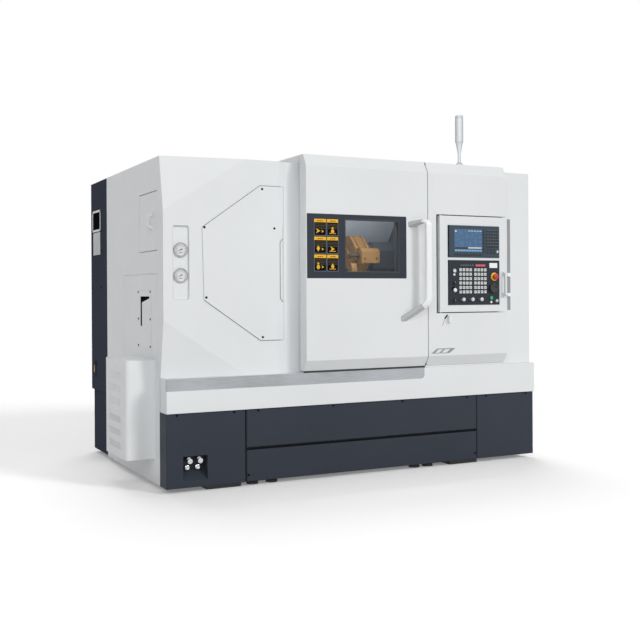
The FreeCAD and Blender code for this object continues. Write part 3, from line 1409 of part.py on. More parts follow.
body = make_body("display_unit")
pad(body, "XZ_Plane", panel_front - display_proud, display_proud + board_sink,
    [rectangle(display_left, display_low, display_right, display_high)])
screen_in = size("screen_in", 44.0, "screen in from the display unit's left edge")
screen_left = display_left + screen_in
screen_width = size("screen_width", 222.0, "screen, width")
screen_up = size("screen_up", 37.0, "screen above the display unit's lower edge")
screen_low = display_low + screen_up
screen_height = size("screen_height", 150.0, "screen, height")
screen_sink = size("screen_sink", 4.0, "screen well, depth")
display_front = panel_front - display_proud
pocket(body, "XZ_Plane", display_front - cut_past, screen_sink + cut_past,
       [rectangle(screen_left, screen_low, screen_left + screen_width,
                  screen_low + screen_height)])
display_bevel = size("display_bevel", 3.0, "edges of the display unit")


def is_display_edge(middle, along, length):
    outside = near(middle.x, display_left) or near(middle.x, display_right)
    beyond = near(middle.z, display_low) or near(middle.z, display_high)
    return near(middle.y, display_front) and (outside or beyond)


soften(body, display_bevel, is_display_edge, "PartDesign::Chamfer")
finish("display_unit", body)
screen_glass = size("screen_glass", 3.0, "screen glass, thickness")
body = make_body("display_screen")
pad(body, "XZ_Plane", display_front + screen_sink - screen_glass, screen_glass,
    [rectangle(screen_left + fit_gap, screen_low + fit_gap, screen_left + screen_width - fit_gap,
               screen_low + screen_height - fit_gap)])
finish("display_screen", body)

# Operator board: bores for the round controls, read from the same table as the controls.
board_front = panel_front - keys_proud
stem_radius = size("stem_radius", 8.0, "round controls, stem radius")
key_stem_radius = size("key_stem_radius", 4.5, "small round controls, stem radius")
dial_x = display_right - dial_margin - dial_side
estop_x = dial_x + size("estop_right", 13.0, "stop button right of the pulse dial")
start_x = dial_x - size("start_left", 15.0, "start button left of the pulse dial")
key_x = dial_x + size("key_right", 33.0, "key switch right of the pulse dial")
column = display_left + size("column_in", 42.0, "left column of controls in from the board's edge")
controls = {
    "estop_button": (estop_x, size("estop_up", 185.0, "stop button, height on the board"),
                     stem_radius),
    "pulse_dial": (dial_x, size("pulse_up", 109.0, "pulse dial, height on the board"),
                   stem_radius),
    "start_button": (start_x, size("start_up", 45.0, "start button, height on the board"),
                     key_stem_radius),
    "selector_upper": (column, size("selector_upper_up", 144.0, "upper selector, height"),
                       key_stem_radius),
    "selector_lower": (column, size("selector_lower_up", 27.0, "lower selector, height"),
                       key_stem_radius),
    "power_button": (column, size("power_up", 223.0, "power button, height on the board"),
                     key_stem_radius),
    "key_switch": (key_x, size("key_switch_up", 25.0, "key switch, height on the board"),
                   key_stem_radius),
}
pushed = ("estop_button", "start_button", "power_button")
body = make_body("operator_panel")
pad(body, "XZ_Plane", board_front, keys_proud + board_sink,
    [rectangle(display_left, keys_low, display_right, keys_high)])
circles = []
outlines = []
for name, (across, height, stem) in controls.items():
    if name in pushed:
        outlines.append(polygon((across, keys_low + height), stem + run_gap * 2.0, stem_sides))
    else:
        circles.append(((across, keys_low + height), stem + run_gap * 2.0))
pocket(body, "XZ_Plane", board_front - cut_past, keys_proud + board_sink + cut_past * 2.0,
       outlines, circles)
finish("operator_panel", body)

# White keys: two blocks of keys in rows, each key a low block on the board.
key_proud = size("key_proud", 4.0, "white key before the board")
key_pitch_up = size("key_pitch_up", 29.0, "white keys, pitch up")
key_up = size("key_up", 75.0, "white keys up from the board's lower edge")
key_first_x = display_left + key_in
key_first_z = keys_low + key_up
pieces = []
for row in range(6):
    for place in range(8):
        across = key_first_x + key_pitch_across * place
        if place >= 4:
            across = across + block_gap
        height = key_first_z + key_pitch_up * row
        pieces.append(box("key", (across, board_front - key_proud, height),
                          (across + key_size, board_front, height + key_size)))
bottom_up = size("bottom_up", 23.0, "lower row of buttons, height on the board")
bottom_in = size("bottom_in", 100.0, "lower row of buttons, first one from the edge")
bottom_pitch = size("bottom_pitch", 72.0, "lower row of buttons, pitch")
row_proud = size("row_proud", 6.0, "lower row of buttons before the board")
for place in range(3):
    across = display_left + bottom_in + bottom_pitch * place
    pieces.append(box("row_button",
                      (across - key_size, board_front - row_proud, keys_low + bottom_up),
                      (across + key_size, board_front, keys_low + bottom_up + key_size)))
finish("operator_keys", group("operator_keys_set", pieces))

# Pull handle on the grey strip: two legs and a bar.
pull_up = size("pull_up", 62.0, "panel handle, lower leg above the board's edge")
pull_long = size("pull_long", 144.0, "panel handle, length between its legs")
pull_bar = size("pull_bar", 14.0, "panel handle, bar size")
pull_reach = size("pull_reach", 34.0, "panel handle before its strip")
pull_low = keys_low + pull_up
pull_high = pull_low + pull_long
pull_left = strip_left + pull_strip / 2.0 - pull_bar / 2.0
strip_front = panel_front + strip_sink
body = make_body("panel_pull")
pull_front = strip_front - pull_reach
pad(body, "YZ_Plane", pull_left, pull_bar,
    [[(strip_front, pull_low - pull_bar), (pull_front, pull_low), (pull_front, pull_high),
      (strip_front, pull_high + pull_bar), (strip_front, pull_high - pull_bar),
      (pull_front + pull_bar, pull_high - pull_bar), (pull_front + pull_bar,
                                                     pull_low + pull_bar),
      (strip_front, pull_low + pull_bar)]])
finish("panel_pull", body)

# Round controls, each built round its own axis and set on its bore.
estop_side = size("estop_radius", 20.0, "stop button, radius")
button_side = size("button_radius", 12.0, "round buttons, radius")
knob_side = size("knob_side", 12.0, "selector knobs, radius")
key_side = size("key_side", 11.0, "key switch, radius")
travel = size("button_travel", 4.0, "travel of the push buttons")
seat_gap = size("seat_gap", 0.4, "turned controls before the board")
stem_short = size("stem_short", 0.6, "stems short of the bottom of their bores")
pointer_rise = size("pointer_rise", 6.0, "selector pointer, height")
pointer_wide = size("pointer_wide", 6.0, "selector pointer, width")
pointer_in = size("pointer_in", 2.0, "selector pointer in from the knob's edge")
key_bow = size("key_bow", 2.5, "key in its switch, thickness")
key_reach = size("key_reach", 7.0, "key in its switch, half width")
knob_cap = size("knob_cap", 7.0, "selector knob, height under the pointer")
dial_cap = size("dial_cap", 18.0, "pulse dial, height")
estop_cap = size("estop_cap", 22.0, "stop button, height")
button_cap = size("button_cap", 6.0, "round buttons, height")
cap_slope = size("cap_slope", 1.5, "sloping edge of the small controls")
dial_slope = size("dial_slope", 3.0, "sloping edge of the pulse dial")
estop_slope = size("estop_slope", 6.0, "sloping edge of the stop button")
crank_radius = size("crank_radius", 5.0, "pulse dial crank knob, radius")
crank_reach = size("crank_reach", 10.0, "pulse dial crank knob, height")
axis_place = (0.0, 0.0)


def round_control(name, radius, reach, gap, slope, sides):
    """Stem through the board and a cap with a sloping edge before it, at the origin."""
    stem = controls[name][2]
    stem_end = keys_proud + board_sink + seat_gap - gap - stem_short
    item = make_body(name)
    pad(item, "XZ_Plane", -gap, gap + stem_end, [polygon(axis_place, stem, stem_sides)])
    pad(item, "XZ_Plane", -gap - reach, reach, [polygon(axis_place, radius, sides)])
    bevel_level(item, "Y", -gap - reach, slope)
    return item


def pointer_bar(item, front, wide, half):
    """Raised bar across the face of a knob."""
    pad(item, "XZ_Plane", front - pointer_rise, pointer_rise,
        [rectangle(-wide / 2.0, -half, wide / 2.0, half)])


def set_control(name, item):
    """Carry a control from the origin to its place on the board."""
    across, height, stem = controls[name]
    shift_body(item, (across, board_front, keys_low + height))
    finish(name, group(name + "_set", [item]))


push_gap = travel + seat_gap
item = round_control("estop_button", estop_side, estop_cap, push_gap, estop_slope, round_sides)
set_control("estop_button", item)
item = round_control("pulse_dial", dial_side, dial_cap, seat_gap, dial_slope, round_sides)
pad(item, "XZ_Plane", -seat_gap - dial_cap - crank_reach, crank_reach,
    [polygon((dial_side * 0.6, dial_side * 0.3), crank_radius, small_sides)])
set_control("pulse_dial", item)
for name in ("start_button", "power_button"):
    item = round_control(name, button_side, button_cap, push_gap, cap_slope, knob_sides)
    set_control(name, item)
for name in ("selector_upper", "selector_lower"):
    item = round_control(name, knob_side, knob_cap, seat_gap, cap_slope, knob_sides)
    pointer_bar(item, -seat_gap - knob_cap, pointer_wide, knob_side - pointer_in)
    set_control(name, item)
item = round_control("key_switch", key_side, button_cap, seat_gap, cap_slope, knob_sides)
pointer_bar(item, -seat_gap - button_cap, key_bow, key_reach)
set_control("key_switch", item)

# ---------------------------------------------------------------- machining space

ceiling = roof_height - roof_sheet - fit_gap
guard_top_y = size("guard_top_y", 500.0, "back guard, upper edge behind the base front")
guard_clear = size("guard_clear", 1.0, "guards above the guideways")
guard_margin = size("guard_margin", 5.0, "guards beside the lower guideway")
nose_clear = size("nose_clear", 4.0, "hole in the guard round the spindle nose, clearance")
nose_radius = size("nose_radius", 88.0, "spindle nose, radius")
guard_low_point = on_slope(way_low - guard_margin, guard_clear - bed_drop)
guard_high_point = on_slope(high_edge, guard_clear - bed_drop)
pan_front = sill_back + fit_gap


def guard_outline(front):
    return [
        (front, sill_top + fit_gap), (pan_front, sill_top + fit_gap),
        (pan_front, base_height + fit_gap), (guard_low_point[0], base_height + fit_gap),
        guard_low_point, guard_high_point, (guard_top_y, ceiling), (front, ceiling),
    ]


body = make_body("guard_left")
spindle_axis = (spindle_y, spindle_z)
pad(body, "YZ_Plane", chamber_left, guard_sheet,
    [guard_outline(recess_back), round_clear(spindle_axis, nose_radius + nose_clear, round_sides)])
finish("guard_left", body)
body = make_body("guard_right")
right_outline = guard_outline(box_depth)[1:]
right_outline[0] = (box_depth, base_height + fit_gap)
right_outline[1] = (guard_low_point[0], base_height + fit_gap)
right_outline.pop(2)
pad(body, "YZ_Plane", chamber_right, guard_sheet, [right_outline])
finish("guard_right", body)

# Back guard: a folded sheet that slopes from the roof down to the bed.
chamber_start = chamber_left + guard_sheet
sheet_out = guard_sheet * 1.3
body = make_body("guard_back")
fold_in = size("fold_in", 172.0, "back guard, fold before its lower edge")
fold_y = guard_high_point[0] - fold_in
fold_rise = size("fold_rise", 228.0, "back guard, fold above its lower edge")
fold_z = guard_high_point[1] + fold_rise
pad(body, "YZ_Plane", chamber_start, chamber_right - chamber_start,
    [[guard_high_point, (fold_y, fold_z), (guard_top_y, ceiling), (guard_top_y + sheet_out, ceiling),
      (fold_y + sheet_out, fold_z), (guard_high_point[0] + sheet_out, guard_high_point[1])]])
finish("guard_back", body)

# Cover between the guideways, folded down to the casting at both edges.
body = make_body("way_guards")
side_clear = size("side_clear", 2.0, "way cover beside the guideways")
cover_drop = size("cover_drop", 8.0, "way cover below the guideways")
inner_low = way_low + way_width + side_clear
inner_high = way_high - side_clear
cover_out = -bed_drop - cover_drop
pad(
    body,
    "YZ_Plane",
    chamber_start,
    chamber_right - chamber_start,
    [[on_slope(inner_low, face_out), on_slope(inner_low, cover_out),
      on_slope(inner_high, cover_out), on_slope(inner_high, face_out),
      on_slope(inner_high - guard_sheet, face_out),
      on_slope(inner_high - guard_sheet, cover_out - guard_sheet),
      on_slope(inner_low + guard_sheet, cover_out - guard_sheet),
      on_slope(inner_low + guard_sheet, face_out)]],
)
finish("way_guards", body)

# Chip pan in front of the bed.
body = make_body("chip_pan")
pan_rim = base_height + size("pan_rise", 133.0, "chip pan, front rim above its floor")
pan_back_rim = base_height + size("pan_back_rise", 373.0, "chip pan, back rim above its floor")
pan_fall = size("pan_fall", 60.0, "chip pan, sloping floor, rise at the back")
pan_back = foot[0] - fit_gap
pad(
    body,
    "YZ_Plane",
    chamber_start + fit_gap,
    chamber_right - chamber_start - fit_gap * 2.0,
    [[(pan_front, base_height), (pan_back, base_height), (pan_back, pan_back_rim),
      (pan_back - guard_sheet, pan_back_rim),
      (pan_back - guard_sheet, base_height + guard_sheet + pan_fall),
      (pan_front + guard_sheet, base_height + guard_sheet), (pan_front + guard_sheet, pan_rim),
      (pan_front, pan_rim)]],
)
finish("chip_pan", body)

# ---------------------------------------------------------------- headstock and spindle

foot_thick = size("foot_thick", 60.0, "headstock foot, thickness")
way_end = way_high + way_width
body = make_body("headstock")
neck_drop = size("neck_drop", 110.0, "headstock, axis to its lower front corner")
pad(
    body,
    "YZ_Plane",
    head_left,
    head_length,
    [[on_slope(way_low, -bed_drop), on_slope(way_end, -bed_drop),
      on_slope(way_end, foot_thick - bed_drop), on_slope(head_half, -neck_drop),
      on_slope(head_half, head_half), on_slope(-head_half, head_half),
      on_slope(-head_half, -neck_drop)]],
    [(spindle_axis, shaft_radius + run_gap)],
)
finish("headstock", body)

motor_length = head_left - motor_left
body = make_body("spindle_motor")
pad(body, "YZ_Plane", motor_left, motor_length,
    [polygon(spindle_axis, motor_radius, round_sides),
     round_clear(spindle_axis, shaft_radius + fit_gap, round_sides)])
finish("spindle_motor", body)

spindle_body = make_body("spindle_shaft")
shaft_start = size("shaft_start", 60.0, "spindle shaft from the motor's end")
nose_length = size("nose_length", 52.0, "spindle nose, length")
nose_start = chuck_left - nose_length
shaft_left = motor_left + shaft_start
pad(spindle_body, "YZ_Plane", shaft_left, chuck_left - shaft_left, [],
    [(axis_place, shaft_radius)])
pad(spindle_body, "YZ_Plane", nose_start, nose_length,
    [polygon(axis_place, nose_radius, round_sides)])
shift_body(spindle_body, (0.0, spindle_y, spindle_z))
finish("spindle_shaft", group("spindle_shaft_set", [spindle_body]))

chuck_edge = size("chuck_edge", 5.0, "bevel round the chuck")
cap_radius = size("cap_radius", 34.0, "chuck centre cover, radius")
cap_sink = size("cap_sink", 4.0, "chuck centre cover behind the chuck face")
body = make_body("chuck_body")
revolve(
    body,
    "XY_Plane",
    [(chuck_left, 0.0), (chuck_left, chuck_radius), (chuck_face - chuck_edge, chuck_radius),
     (chuck_face, chuck_radius - chuck_edge), (chuck_face, 0.0)],
    "X_Axis",
)
pocket(body, "YZ_Plane", chuck_face - cap_sink, cap_sink + cut_past,
       [polygon(axis_place, cap_radius, small_sides)])
half_jaw = jaw_width / 2.0
slot_wall = size("slot_wall", 2.0, "chuck, wall between its cover and a jaw slot")
slot = pocket(body, "YZ_Plane", chuck_face - jaw_slot, jaw_slot + cut_past,
              [rectangle(-half_jaw, cap_radius + slot_wall, half_jaw, chuck_radius + cut_past)])
repeat_round(body, slot, "X_Axis", 3)
shift_body(body, (0.0, spindle_y, spindle_z))
finish("chuck_body", group("chuck_body_set", [body]))

jaw_step = size("jaw_step", 20.0, "chuck jaw, height of its step")
jaw_foot = size("jaw_foot", 26.0, "chuck jaw, length of its high part")
jaw_back = chuck_face - jaw_slot + jaw_gap
for number in range(3):
    body = make_body("chuck_jaw")
    pad(
        body,
        "XZ_Plane",
        jaw_gap - half_jaw,
        jaw_width - jaw_gap * 2.0,
        [[(jaw_back, jaw_inner), (chuck_face + jaw_reach, jaw_inner),
          (chuck_face + jaw_reach, jaw_inner + jaw_foot),
          (chuck_face + jaw_step, jaw_inner + jaw_foot), (chuck_face + jaw_step, jaw_outer),
          (jaw_back, jaw_outer)]],
    )
    turn = FreeCAD.Rotation(FreeCAD.Vector(1, 0, 0), 120.0 * number)
    body.Placement = FreeCAD.Placement(FreeCAD.Vector(), turn)
    shift_body(body, (0.0, spindle_y, spindle_z))
    finish("chuck_jaw_%d" % (number + 1), group("chuck_jaw_set", [body]))

# ---------------------------------------------------------------- saddle and turret

keeper_drop = size("keeper_drop", 25.0, "saddle keepers below the guideways")
keeper_width = size("keeper_width", 28.0, "saddle keepers, width")
saddle_out = saddle_thick - bed_drop
body = make_body("carriage")
pad(
    body,
    "YZ_Plane",
    saddle_left,
    saddle_length,
    [[on_slope(way_low - fit_gap - keeper_width, -bed_drop - keeper_drop),
      on_slope(way_low - fit_gap, -bed_drop - keeper_drop),
      on_slope(way_low - fit_gap, run_gap - bed_drop),
      on_slope(way_end + fit_gap, run_gap - bed_drop),
      on_slope(way_end + fit_gap, -bed_drop - keeper_drop),
      on_slope(way_end + fit_gap + keeper_width, -bed_drop - keeper_drop),
      on_slope(way_end + fit_gap + keeper_width, saddle_out),
      on_slope(way_low - fit_gap - keeper_width, saddle_out)]],
)
finish("carriage", body)

slide_inset = size("slide_inset", 12.0, "cross slide in from the saddle's ends")
housing_radius = size("housing_radius", 112.0, "turret housing, radius")
neck_radius = size("neck_radius", 96.0, "turret neck, radius")
turret_shaft = size("turret_shaft", 45.0, "turret shaft, radius")
shaft_depth = size("shaft_depth", 120.0, "turret shaft, length in the housing")
shaft_end = size("shaft_end", 1.0, "turret shaft short of the end of its bore")
drive_radius = size("drive_radius", 70.0, "turret drive, radius")
slide_out = saddle_out + run_gap
housing_left = saddle_left
housing_right = housing_left + housing_length
body = make_body("cross_slide")
pad(
    body,
    "YZ_Plane",
    saddle_left + slide_inset,
    saddle_length - slide_inset * 2.0,
    [[on_slope(slide_low, slide_out), on_slope(slide_low + slide_length, slide_out),
      on_slope(slide_low + slide_length, slide_out + slide_thick),
      on_slope(slide_low, slide_out + slide_thick)]],
)
centre = (turret_y, turret_z)
pad(
    body,
    "YZ_Plane",
    saddle_left + slide_inset,
    housing_length - slide_inset,
    [[on_slope(turret_offset - housing_radius, slide_out + slide_thick),
      on_slope(turret_offset + housing_radius, slide_out + slide_thick),
      on_slope(turret_offset + housing_radius, 0.0),
      on_slope(turret_offset + housing_radius * 0.4, housing_radius * 0.9),
      on_slope(turret_offset - housing_radius * 0.4, housing_radius * 0.9),
      on_slope(turret_offset - housing_radius, 0.0)]],
)
neck_gap = size("neck_gap", 1.0, "turret disc to its neck")
neck_left = turret_right + neck_gap
pad(body, "YZ_Plane", neck_left, housing_left + slide_inset - neck_left,
    [polygon(centre, neck_radius, round_sides)])
drive_end = saddle_left + saddle_length - slide_inset
pad(body, "YZ_Plane", housing_right, drive_end - housing_right,
    [polygon(centre, drive_radius, round_sides)])
pocket(body, "YZ_Plane", turret_right, neck_gap + shaft_depth,
       [round_clear(centre, turret_shaft + run_gap, round_sides)])
finish("cross_slide", body)

# Eight-sided turret disc, built round the X axis and then set on its own axis.
sides = 8
rim = turret_flats / 2.0 / math.cos(math.pi / sides)
body = make_body("turret_disc")
pad(body, "YZ_Plane", turret_left, turret_width, [polygon(axis_place, rim, sides, 180.0 / sides)])
hub_radius = size("hub_radius", 62.0, "turret hub, radius")
hub_proud = size("hub_proud", 14.0, "turret hub before the disc")
pad(body, "YZ_Plane", turret_left - hub_proud, hub_proud, [], [((0.0, 0.0), hub_radius)])
pad(body, "YZ_Plane", turret_right, neck_gap + shaft_depth - shaft_end, [],
    [((0.0, 0.0), turret_shaft)])
ring_depth = size("ring_depth", 7.0, "grooves round the turret disc, depth")
ring_width = size("ring_width", 12.0, "grooves round the turret disc, width")
ring_place = size("ring_place", 20.0, "grooves in from the faces of the disc")
flat_half = turret_flats / 2.0
groove_floor = rim - ring_depth
grooved = pocket(body, "YZ_Plane", turret_left + ring_place, ring_width,
                 [polygon(axis_place, rim + cut_past, sides, 180.0 / sides),
                  polygon(axis_place, groove_floor, sides, 180.0 / sides)])
repeat(body, grooved, "X_Axis", turret_width - ring_place * 2.0 - ring_width, 2)
clamp_radius = size("clamp_radius", 9.0, "clamp holes of the turret, radius")
clamp_depth = size("clamp_depth", 12.0, "clamp holes of the turret, depth")
clamp_circle = size("clamp_circle", 104.0, "clamp holes of the turret, pitch circle radius")
hole = pocket(body, "YZ_Plane", turret_left - cut_past, clamp_depth + cut_past,
              [polygon((clamp_circle, 0.0), clamp_radius, 6)])
repeat_round(body, hole, "X_Axis", sides)
shift_body(body, (0.0, turret_y, turret_z))
finish("turret_disc", group("turret_disc_set", [body]))

# Tool blocks and round holders on the disc's flats, and the tools that they hold.
block_start = size("block_start", 15.0, "tool block from the left face of the disc")
block_left = turret_left + block_start
block_bevel = size("block_bevel", 24.0, "tool block, bevelled edge")
bar_hold = size("bar_hold", 84.0, "boring bar in its block, depth")
bar_slope = size("bar_slope", 6.0, "sloping end of a boring bar")
tool_gap = size("tool_gap", 0.1, "tool to the wall of its bore")
tool_end = size("tool_end", 1.0, "tool short of the end of its bore")
bolt_radius = size("bolt_radius", 7.0, "tool block screw holes, radius")
bolt_depth = size("bolt_depth", 12.0, "tool block screw holes, depth")
bolt_in = size("bolt_in", 26.0, "tool block screw holes in from its ends")
bar_up = size("bar_up", 28.0, "boring bar above the flat that carries its block")
bar_out = flat_half + bar_up
block_stations = (180.0, 270.0, 0.0)
round_stations = (225.0, 315.0)
holders = []
bars = []
half_block = block_width / 2.0


def set_station(item, angle):
    item.Placement = FreeCAD.Placement(
        FreeCAD.Vector(), FreeCAD.Rotation(FreeCAD.Vector(1, 0, 0), angle)
    )
    shift_body(item, (0.0, turret_y, turret_z))


bore_end = block_left + bar_hold
bar_start = block_left - bar_reach
bar_middle = (bar_out, 0.0)
for angle in block_stations:
    body = make_body("tool_block")
    top = flat_half + block_height
    pad(body, "YZ_Plane", block_left, block_length,
        [[(flat_half, -half_block), (top - block_bevel, -half_block),
          (top, block_bevel - half_block), (top, half_block), (flat_half, half_block)]])
    pocket(body, "YZ_Plane", block_left - cut_past, bar_hold + cut_past,
           [polygon(bar_middle, bar_radius + tool_gap, small_sides)])
    pocket(body, "XZ_Plane", top - bolt_depth, bolt_depth + cut_past,
           [polygon((block_left + bolt_in, half_block * 0.45), bolt_radius, 6),
            polygon((block_left + block_length - bolt_in, half_block * 0.45), bolt_radius, 6)])
    set_station(body, angle)
    holders.append(body)
    body = make_body("tool_bar")
    shank = polygon(bar_middle, bar_radius, small_sides)
    pad(body, "YZ_Plane", bar_start, bore_end - tool_end - bar_start, [shank])
    bevel_level(body, "X", bar_start, bar_slope)
    set_station(body, angle)
    bars.append(body)
holder_length = size("holder_length", 42.0, "round tool holder, length")
holder_out = size("holder_out", 140.0, "round tool holder from the turret axis")
drill_radius = size("drill_radius", 14.0, "drill of a round holder, radius")
drill_reach = size("drill_reach", 40.0, "drill of a round holder, length")
drill_hold = size("drill_hold", 30.0, "drill in its holder, depth")
drill_step = size("drill_step", 2.0, "drill flute inside the shank's radius")
drill_point = size("drill_point", 10.0, "point of a drill, length")
holder_left = turret_left - fit_gap - holder_length
drill_middle = (holder_out, 0.0)
drill_tip = holder_left - drill_reach
flute = polygon(drill_middle, drill_radius - drill_step, small_sides)
for angle in round_stations:
    body = make_body("round_holder")
    pad(body, "YZ_Plane", holder_left, holder_length,
        [polygon(drill_middle, round_radius, round_sides)])
    pocket(body, "YZ_Plane", holder_left - cut_past, drill_hold + cut_past,
           [polygon(drill_middle, drill_radius + tool_gap, small_sides)])
    set_station(body, angle)
    holders.append(body)
    body = make_body("tool_drill")
    pad(body, "YZ_Plane", drill_tip, drill_reach, [flute])
    bevel_level(body, "X", drill_tip, drill_point)
    pad(body, "YZ_Plane", holder_left, drill_hold - tool_end,
        [polygon(drill_middle, drill_radius, small_sides)])
    set_station(body, angle)
    bars.append(body)
finish("tool_holders", group("tool_holders_set", holders))
finish("tool_bars", group("tool_bars_set", bars))

# ---------------------------------------------------------------- checks and files

doc.recompute()
failed = []
for item in doc.Objects:
    for state in item.State:
        if "Invalid" in state or "Error" in state:
            failed.append(item.Name + " " + state)
for feature, before in cuts:
    if feature.Shape.Volume >= before.Shape.Volume - 1.0:
        failed.append(feature.Name + " cuts nothing")
for node, item in nodes.items():
    if item.Shape.isNull() or not item.Shape.isValid() or not item.Shape.Solids:
        failed.append(node + " has no valid solid")
if failed:
    raise RuntimeError("; ".join(failed))
os.makedirs("parts", exist_ok=True)
for node, item in nodes.items():
    item.Shape.exportStep(os.path.join("parts", node + ".step"))
print(len(nodes), "pieces written")
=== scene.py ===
import json
import math

import bmesh
import bpy
from mathutils import Matrix, Vector


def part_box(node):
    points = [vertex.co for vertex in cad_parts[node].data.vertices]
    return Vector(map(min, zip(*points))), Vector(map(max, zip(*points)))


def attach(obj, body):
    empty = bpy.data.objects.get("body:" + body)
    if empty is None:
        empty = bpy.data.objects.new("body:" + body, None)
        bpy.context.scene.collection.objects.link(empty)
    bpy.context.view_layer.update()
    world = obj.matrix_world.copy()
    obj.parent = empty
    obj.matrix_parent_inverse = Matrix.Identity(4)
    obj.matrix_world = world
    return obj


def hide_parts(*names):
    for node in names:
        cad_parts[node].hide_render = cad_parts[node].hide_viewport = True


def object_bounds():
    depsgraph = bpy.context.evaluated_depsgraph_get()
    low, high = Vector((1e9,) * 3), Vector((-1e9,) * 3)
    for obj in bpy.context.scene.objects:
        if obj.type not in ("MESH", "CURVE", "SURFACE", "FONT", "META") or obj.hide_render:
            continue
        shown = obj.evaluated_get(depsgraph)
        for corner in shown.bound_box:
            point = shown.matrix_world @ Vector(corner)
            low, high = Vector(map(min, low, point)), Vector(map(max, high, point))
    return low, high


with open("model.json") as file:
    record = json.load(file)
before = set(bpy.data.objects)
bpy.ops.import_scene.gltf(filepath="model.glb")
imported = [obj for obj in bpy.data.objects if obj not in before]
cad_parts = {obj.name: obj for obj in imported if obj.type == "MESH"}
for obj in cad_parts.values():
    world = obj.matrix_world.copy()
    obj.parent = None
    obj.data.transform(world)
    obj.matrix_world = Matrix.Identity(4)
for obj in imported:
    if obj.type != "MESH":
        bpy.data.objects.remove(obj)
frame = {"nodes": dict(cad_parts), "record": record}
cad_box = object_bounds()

# Looks of a turning lathe: paint, sheet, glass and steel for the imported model, and the small
# parts that are too fine for it. Lengths are in millimetres. Places are in the machine's own
# measures: right, back and up from the left front lower corner of the base.

nodes = frame["nodes"]
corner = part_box("base_cover_left")[0]
MM = 0.001
RIGHT = Vector((1.0, 0.0, 0.0))
BACK = Vector((0.0, 1.0, 0.0))
UP = Vector((0.0, 0.0, 1.0))
LEFT = -RIGHT
FRONT = -BACK


def spot(x, y, z):
    """Point of the shared frame, in metres, from the machine's own millimetres."""
    return corner + Vector((x, y, z)) * MM


def own(point):
    """The machine's own millimetres of a point of the shared frame."""
    return (point - corner) / MM


def measures(node):
    """Low and high corner of a node in the machine's own millimetres."""
    low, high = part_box(node)
    return own(low), own(high)


# ---------------------------------------------------------------- finishes

finishes = {}
# Scale and detail of each noise.
DRIFT = (1.3, 3.0)      # change of tone over a sheet
PATCHY = (3.0, 3.0)     # change of tone over worked metal
WORN = (9.0, 4.0)       # change of gloss over a coat
HANDLED = (30.0, 3.0)   # change of tone over plastic
TOUCHED = (55.0, 2.0)   # change of gloss over plastic
PEEL = (900.0, 1.0)     # orange peel of a coat
SPARK = (1400.0, 1.0)   # grain of moulded plastic


def wire(tree, *pairs):
    """Links outputs to inputs."""
    for source, target in pairs:
        tree.links.new(source, target)


def start_finish(name):
    """Material with one shader, kept under its name."""
    material = bpy.data.materials.new(name)
    material.use_nodes = True
    finishes[name] = material
    tree = material.node_tree
    tree.nodes.clear()
    output = tree.nodes.new("ShaderNodeOutputMaterial")
    shader = tree.nodes.new("ShaderNodeBsdfPrincipled")
    wire(tree, (shader.outputs["BSDF"], output.inputs["Surface"]))
    return tree, shader


def noise(tree, scale, detail, stretch=(1.0, 1.0, 1.0)):
    """Noise on the piece's own coordinates, stretched along its axes."""
    place = tree.nodes.new("ShaderNodeTexCoord")
    mapping = tree.nodes.new("ShaderNodeMapping")
    texture = tree.nodes.new("ShaderNodeTexNoise")
    mapping.inputs["Scale"].default_value = stretch
    texture.inputs["Scale"].default_value = scale
    texture.inputs["Detail"].default_value = detail
    wire(tree, (place.outputs["Object"], mapping.inputs["Vector"]),
         (mapping.outputs["Vector"], texture.inputs["Vector"]))
    return texture.outputs["Fac"]


def blend_colours(tree, factor, first, second):
    """Colour that runs from the first to the second as the factor rises."""
    mix = tree.nodes.new("ShaderNodeMix")
    mix.data_type = "RGBA"
    for socket, value in ((mix.inputs[6], first), (mix.inputs[7], second)):
        if isinstance(value, tuple):
            socket.default_value = (*value, 1.0)
        else:
            wire(tree, (value, socket))
    wire(tree, (factor, mix.inputs[0]))
    return mix.outputs[2]


def spread(tree, value, low=0.0, high=1.0):
    """Maps the middle stretch of a noise to a range."""
    ramp = tree.nodes.new("ShaderNodeMapRange")
    ramp.inputs["From Min"].default_value = 0.3
    ramp.inputs["From Max"].default_value = 0.7
    ramp.inputs["To Min"].default_value = low
    ramp.inputs["To Max"].default_value = high
    wire(tree, (value, ramp.inputs["Value"]))
    return ramp.outputs["Result"]


def relief(tree, shader, height, depth, edge):
    """Bump of a given depth in metres, over edges rounded by a given radius."""
    bump = tree.nodes.new("ShaderNodeBump")
    bump.inputs["Strength"].default_value = 1.0
    bump.inputs["Distance"].default_value = depth
    wire(tree, (height, bump.inputs["Height"]))
    if edge:
        rounded = tree.nodes.new("ShaderNodeBevel")
        rounded.samples = 4
        rounded.inputs["Radius"].default_value = edge
        wire(tree, (rounded.outputs["Normal"], bump.inputs["Normal"]))
    wire(tree, (bump.outputs["Normal"], shader.inputs["Normal"]))


def shade(colour, amount):
    return tuple(part * amount for part in colour)


def set_surface(tree, shader, tone, rough):
    """Wires a colour and a roughness to the shader."""
    wire(tree, (tone, shader.inputs["Base Color"]), (rough, shader.inputs["Roughness"]))


def coat(name, colour, rough=0.45, depth=0.00004, edge=0.0, change=0.03, gloss=0.5):
    """Powder coat: slight drift of tone over the sheet, and fine orange peel."""
    tree, shader = start_finish(name)
    shader.inputs["Specular IOR Level"].default_value = gloss
    drift = spread(tree, noise(tree, *DRIFT))
    tone = blend_colours(tree, drift, shade(colour, 1.0 - change),
                         shade(colour, 1.0 + change * 0.5))
    peel = noise(tree, *PEEL)
    worn = spread(tree, noise(tree, *WORN), rough - 0.04, rough + 0.06)
    set_surface(tree, shader, tone, worn)
    relief(tree, shader, peel, depth, edge)


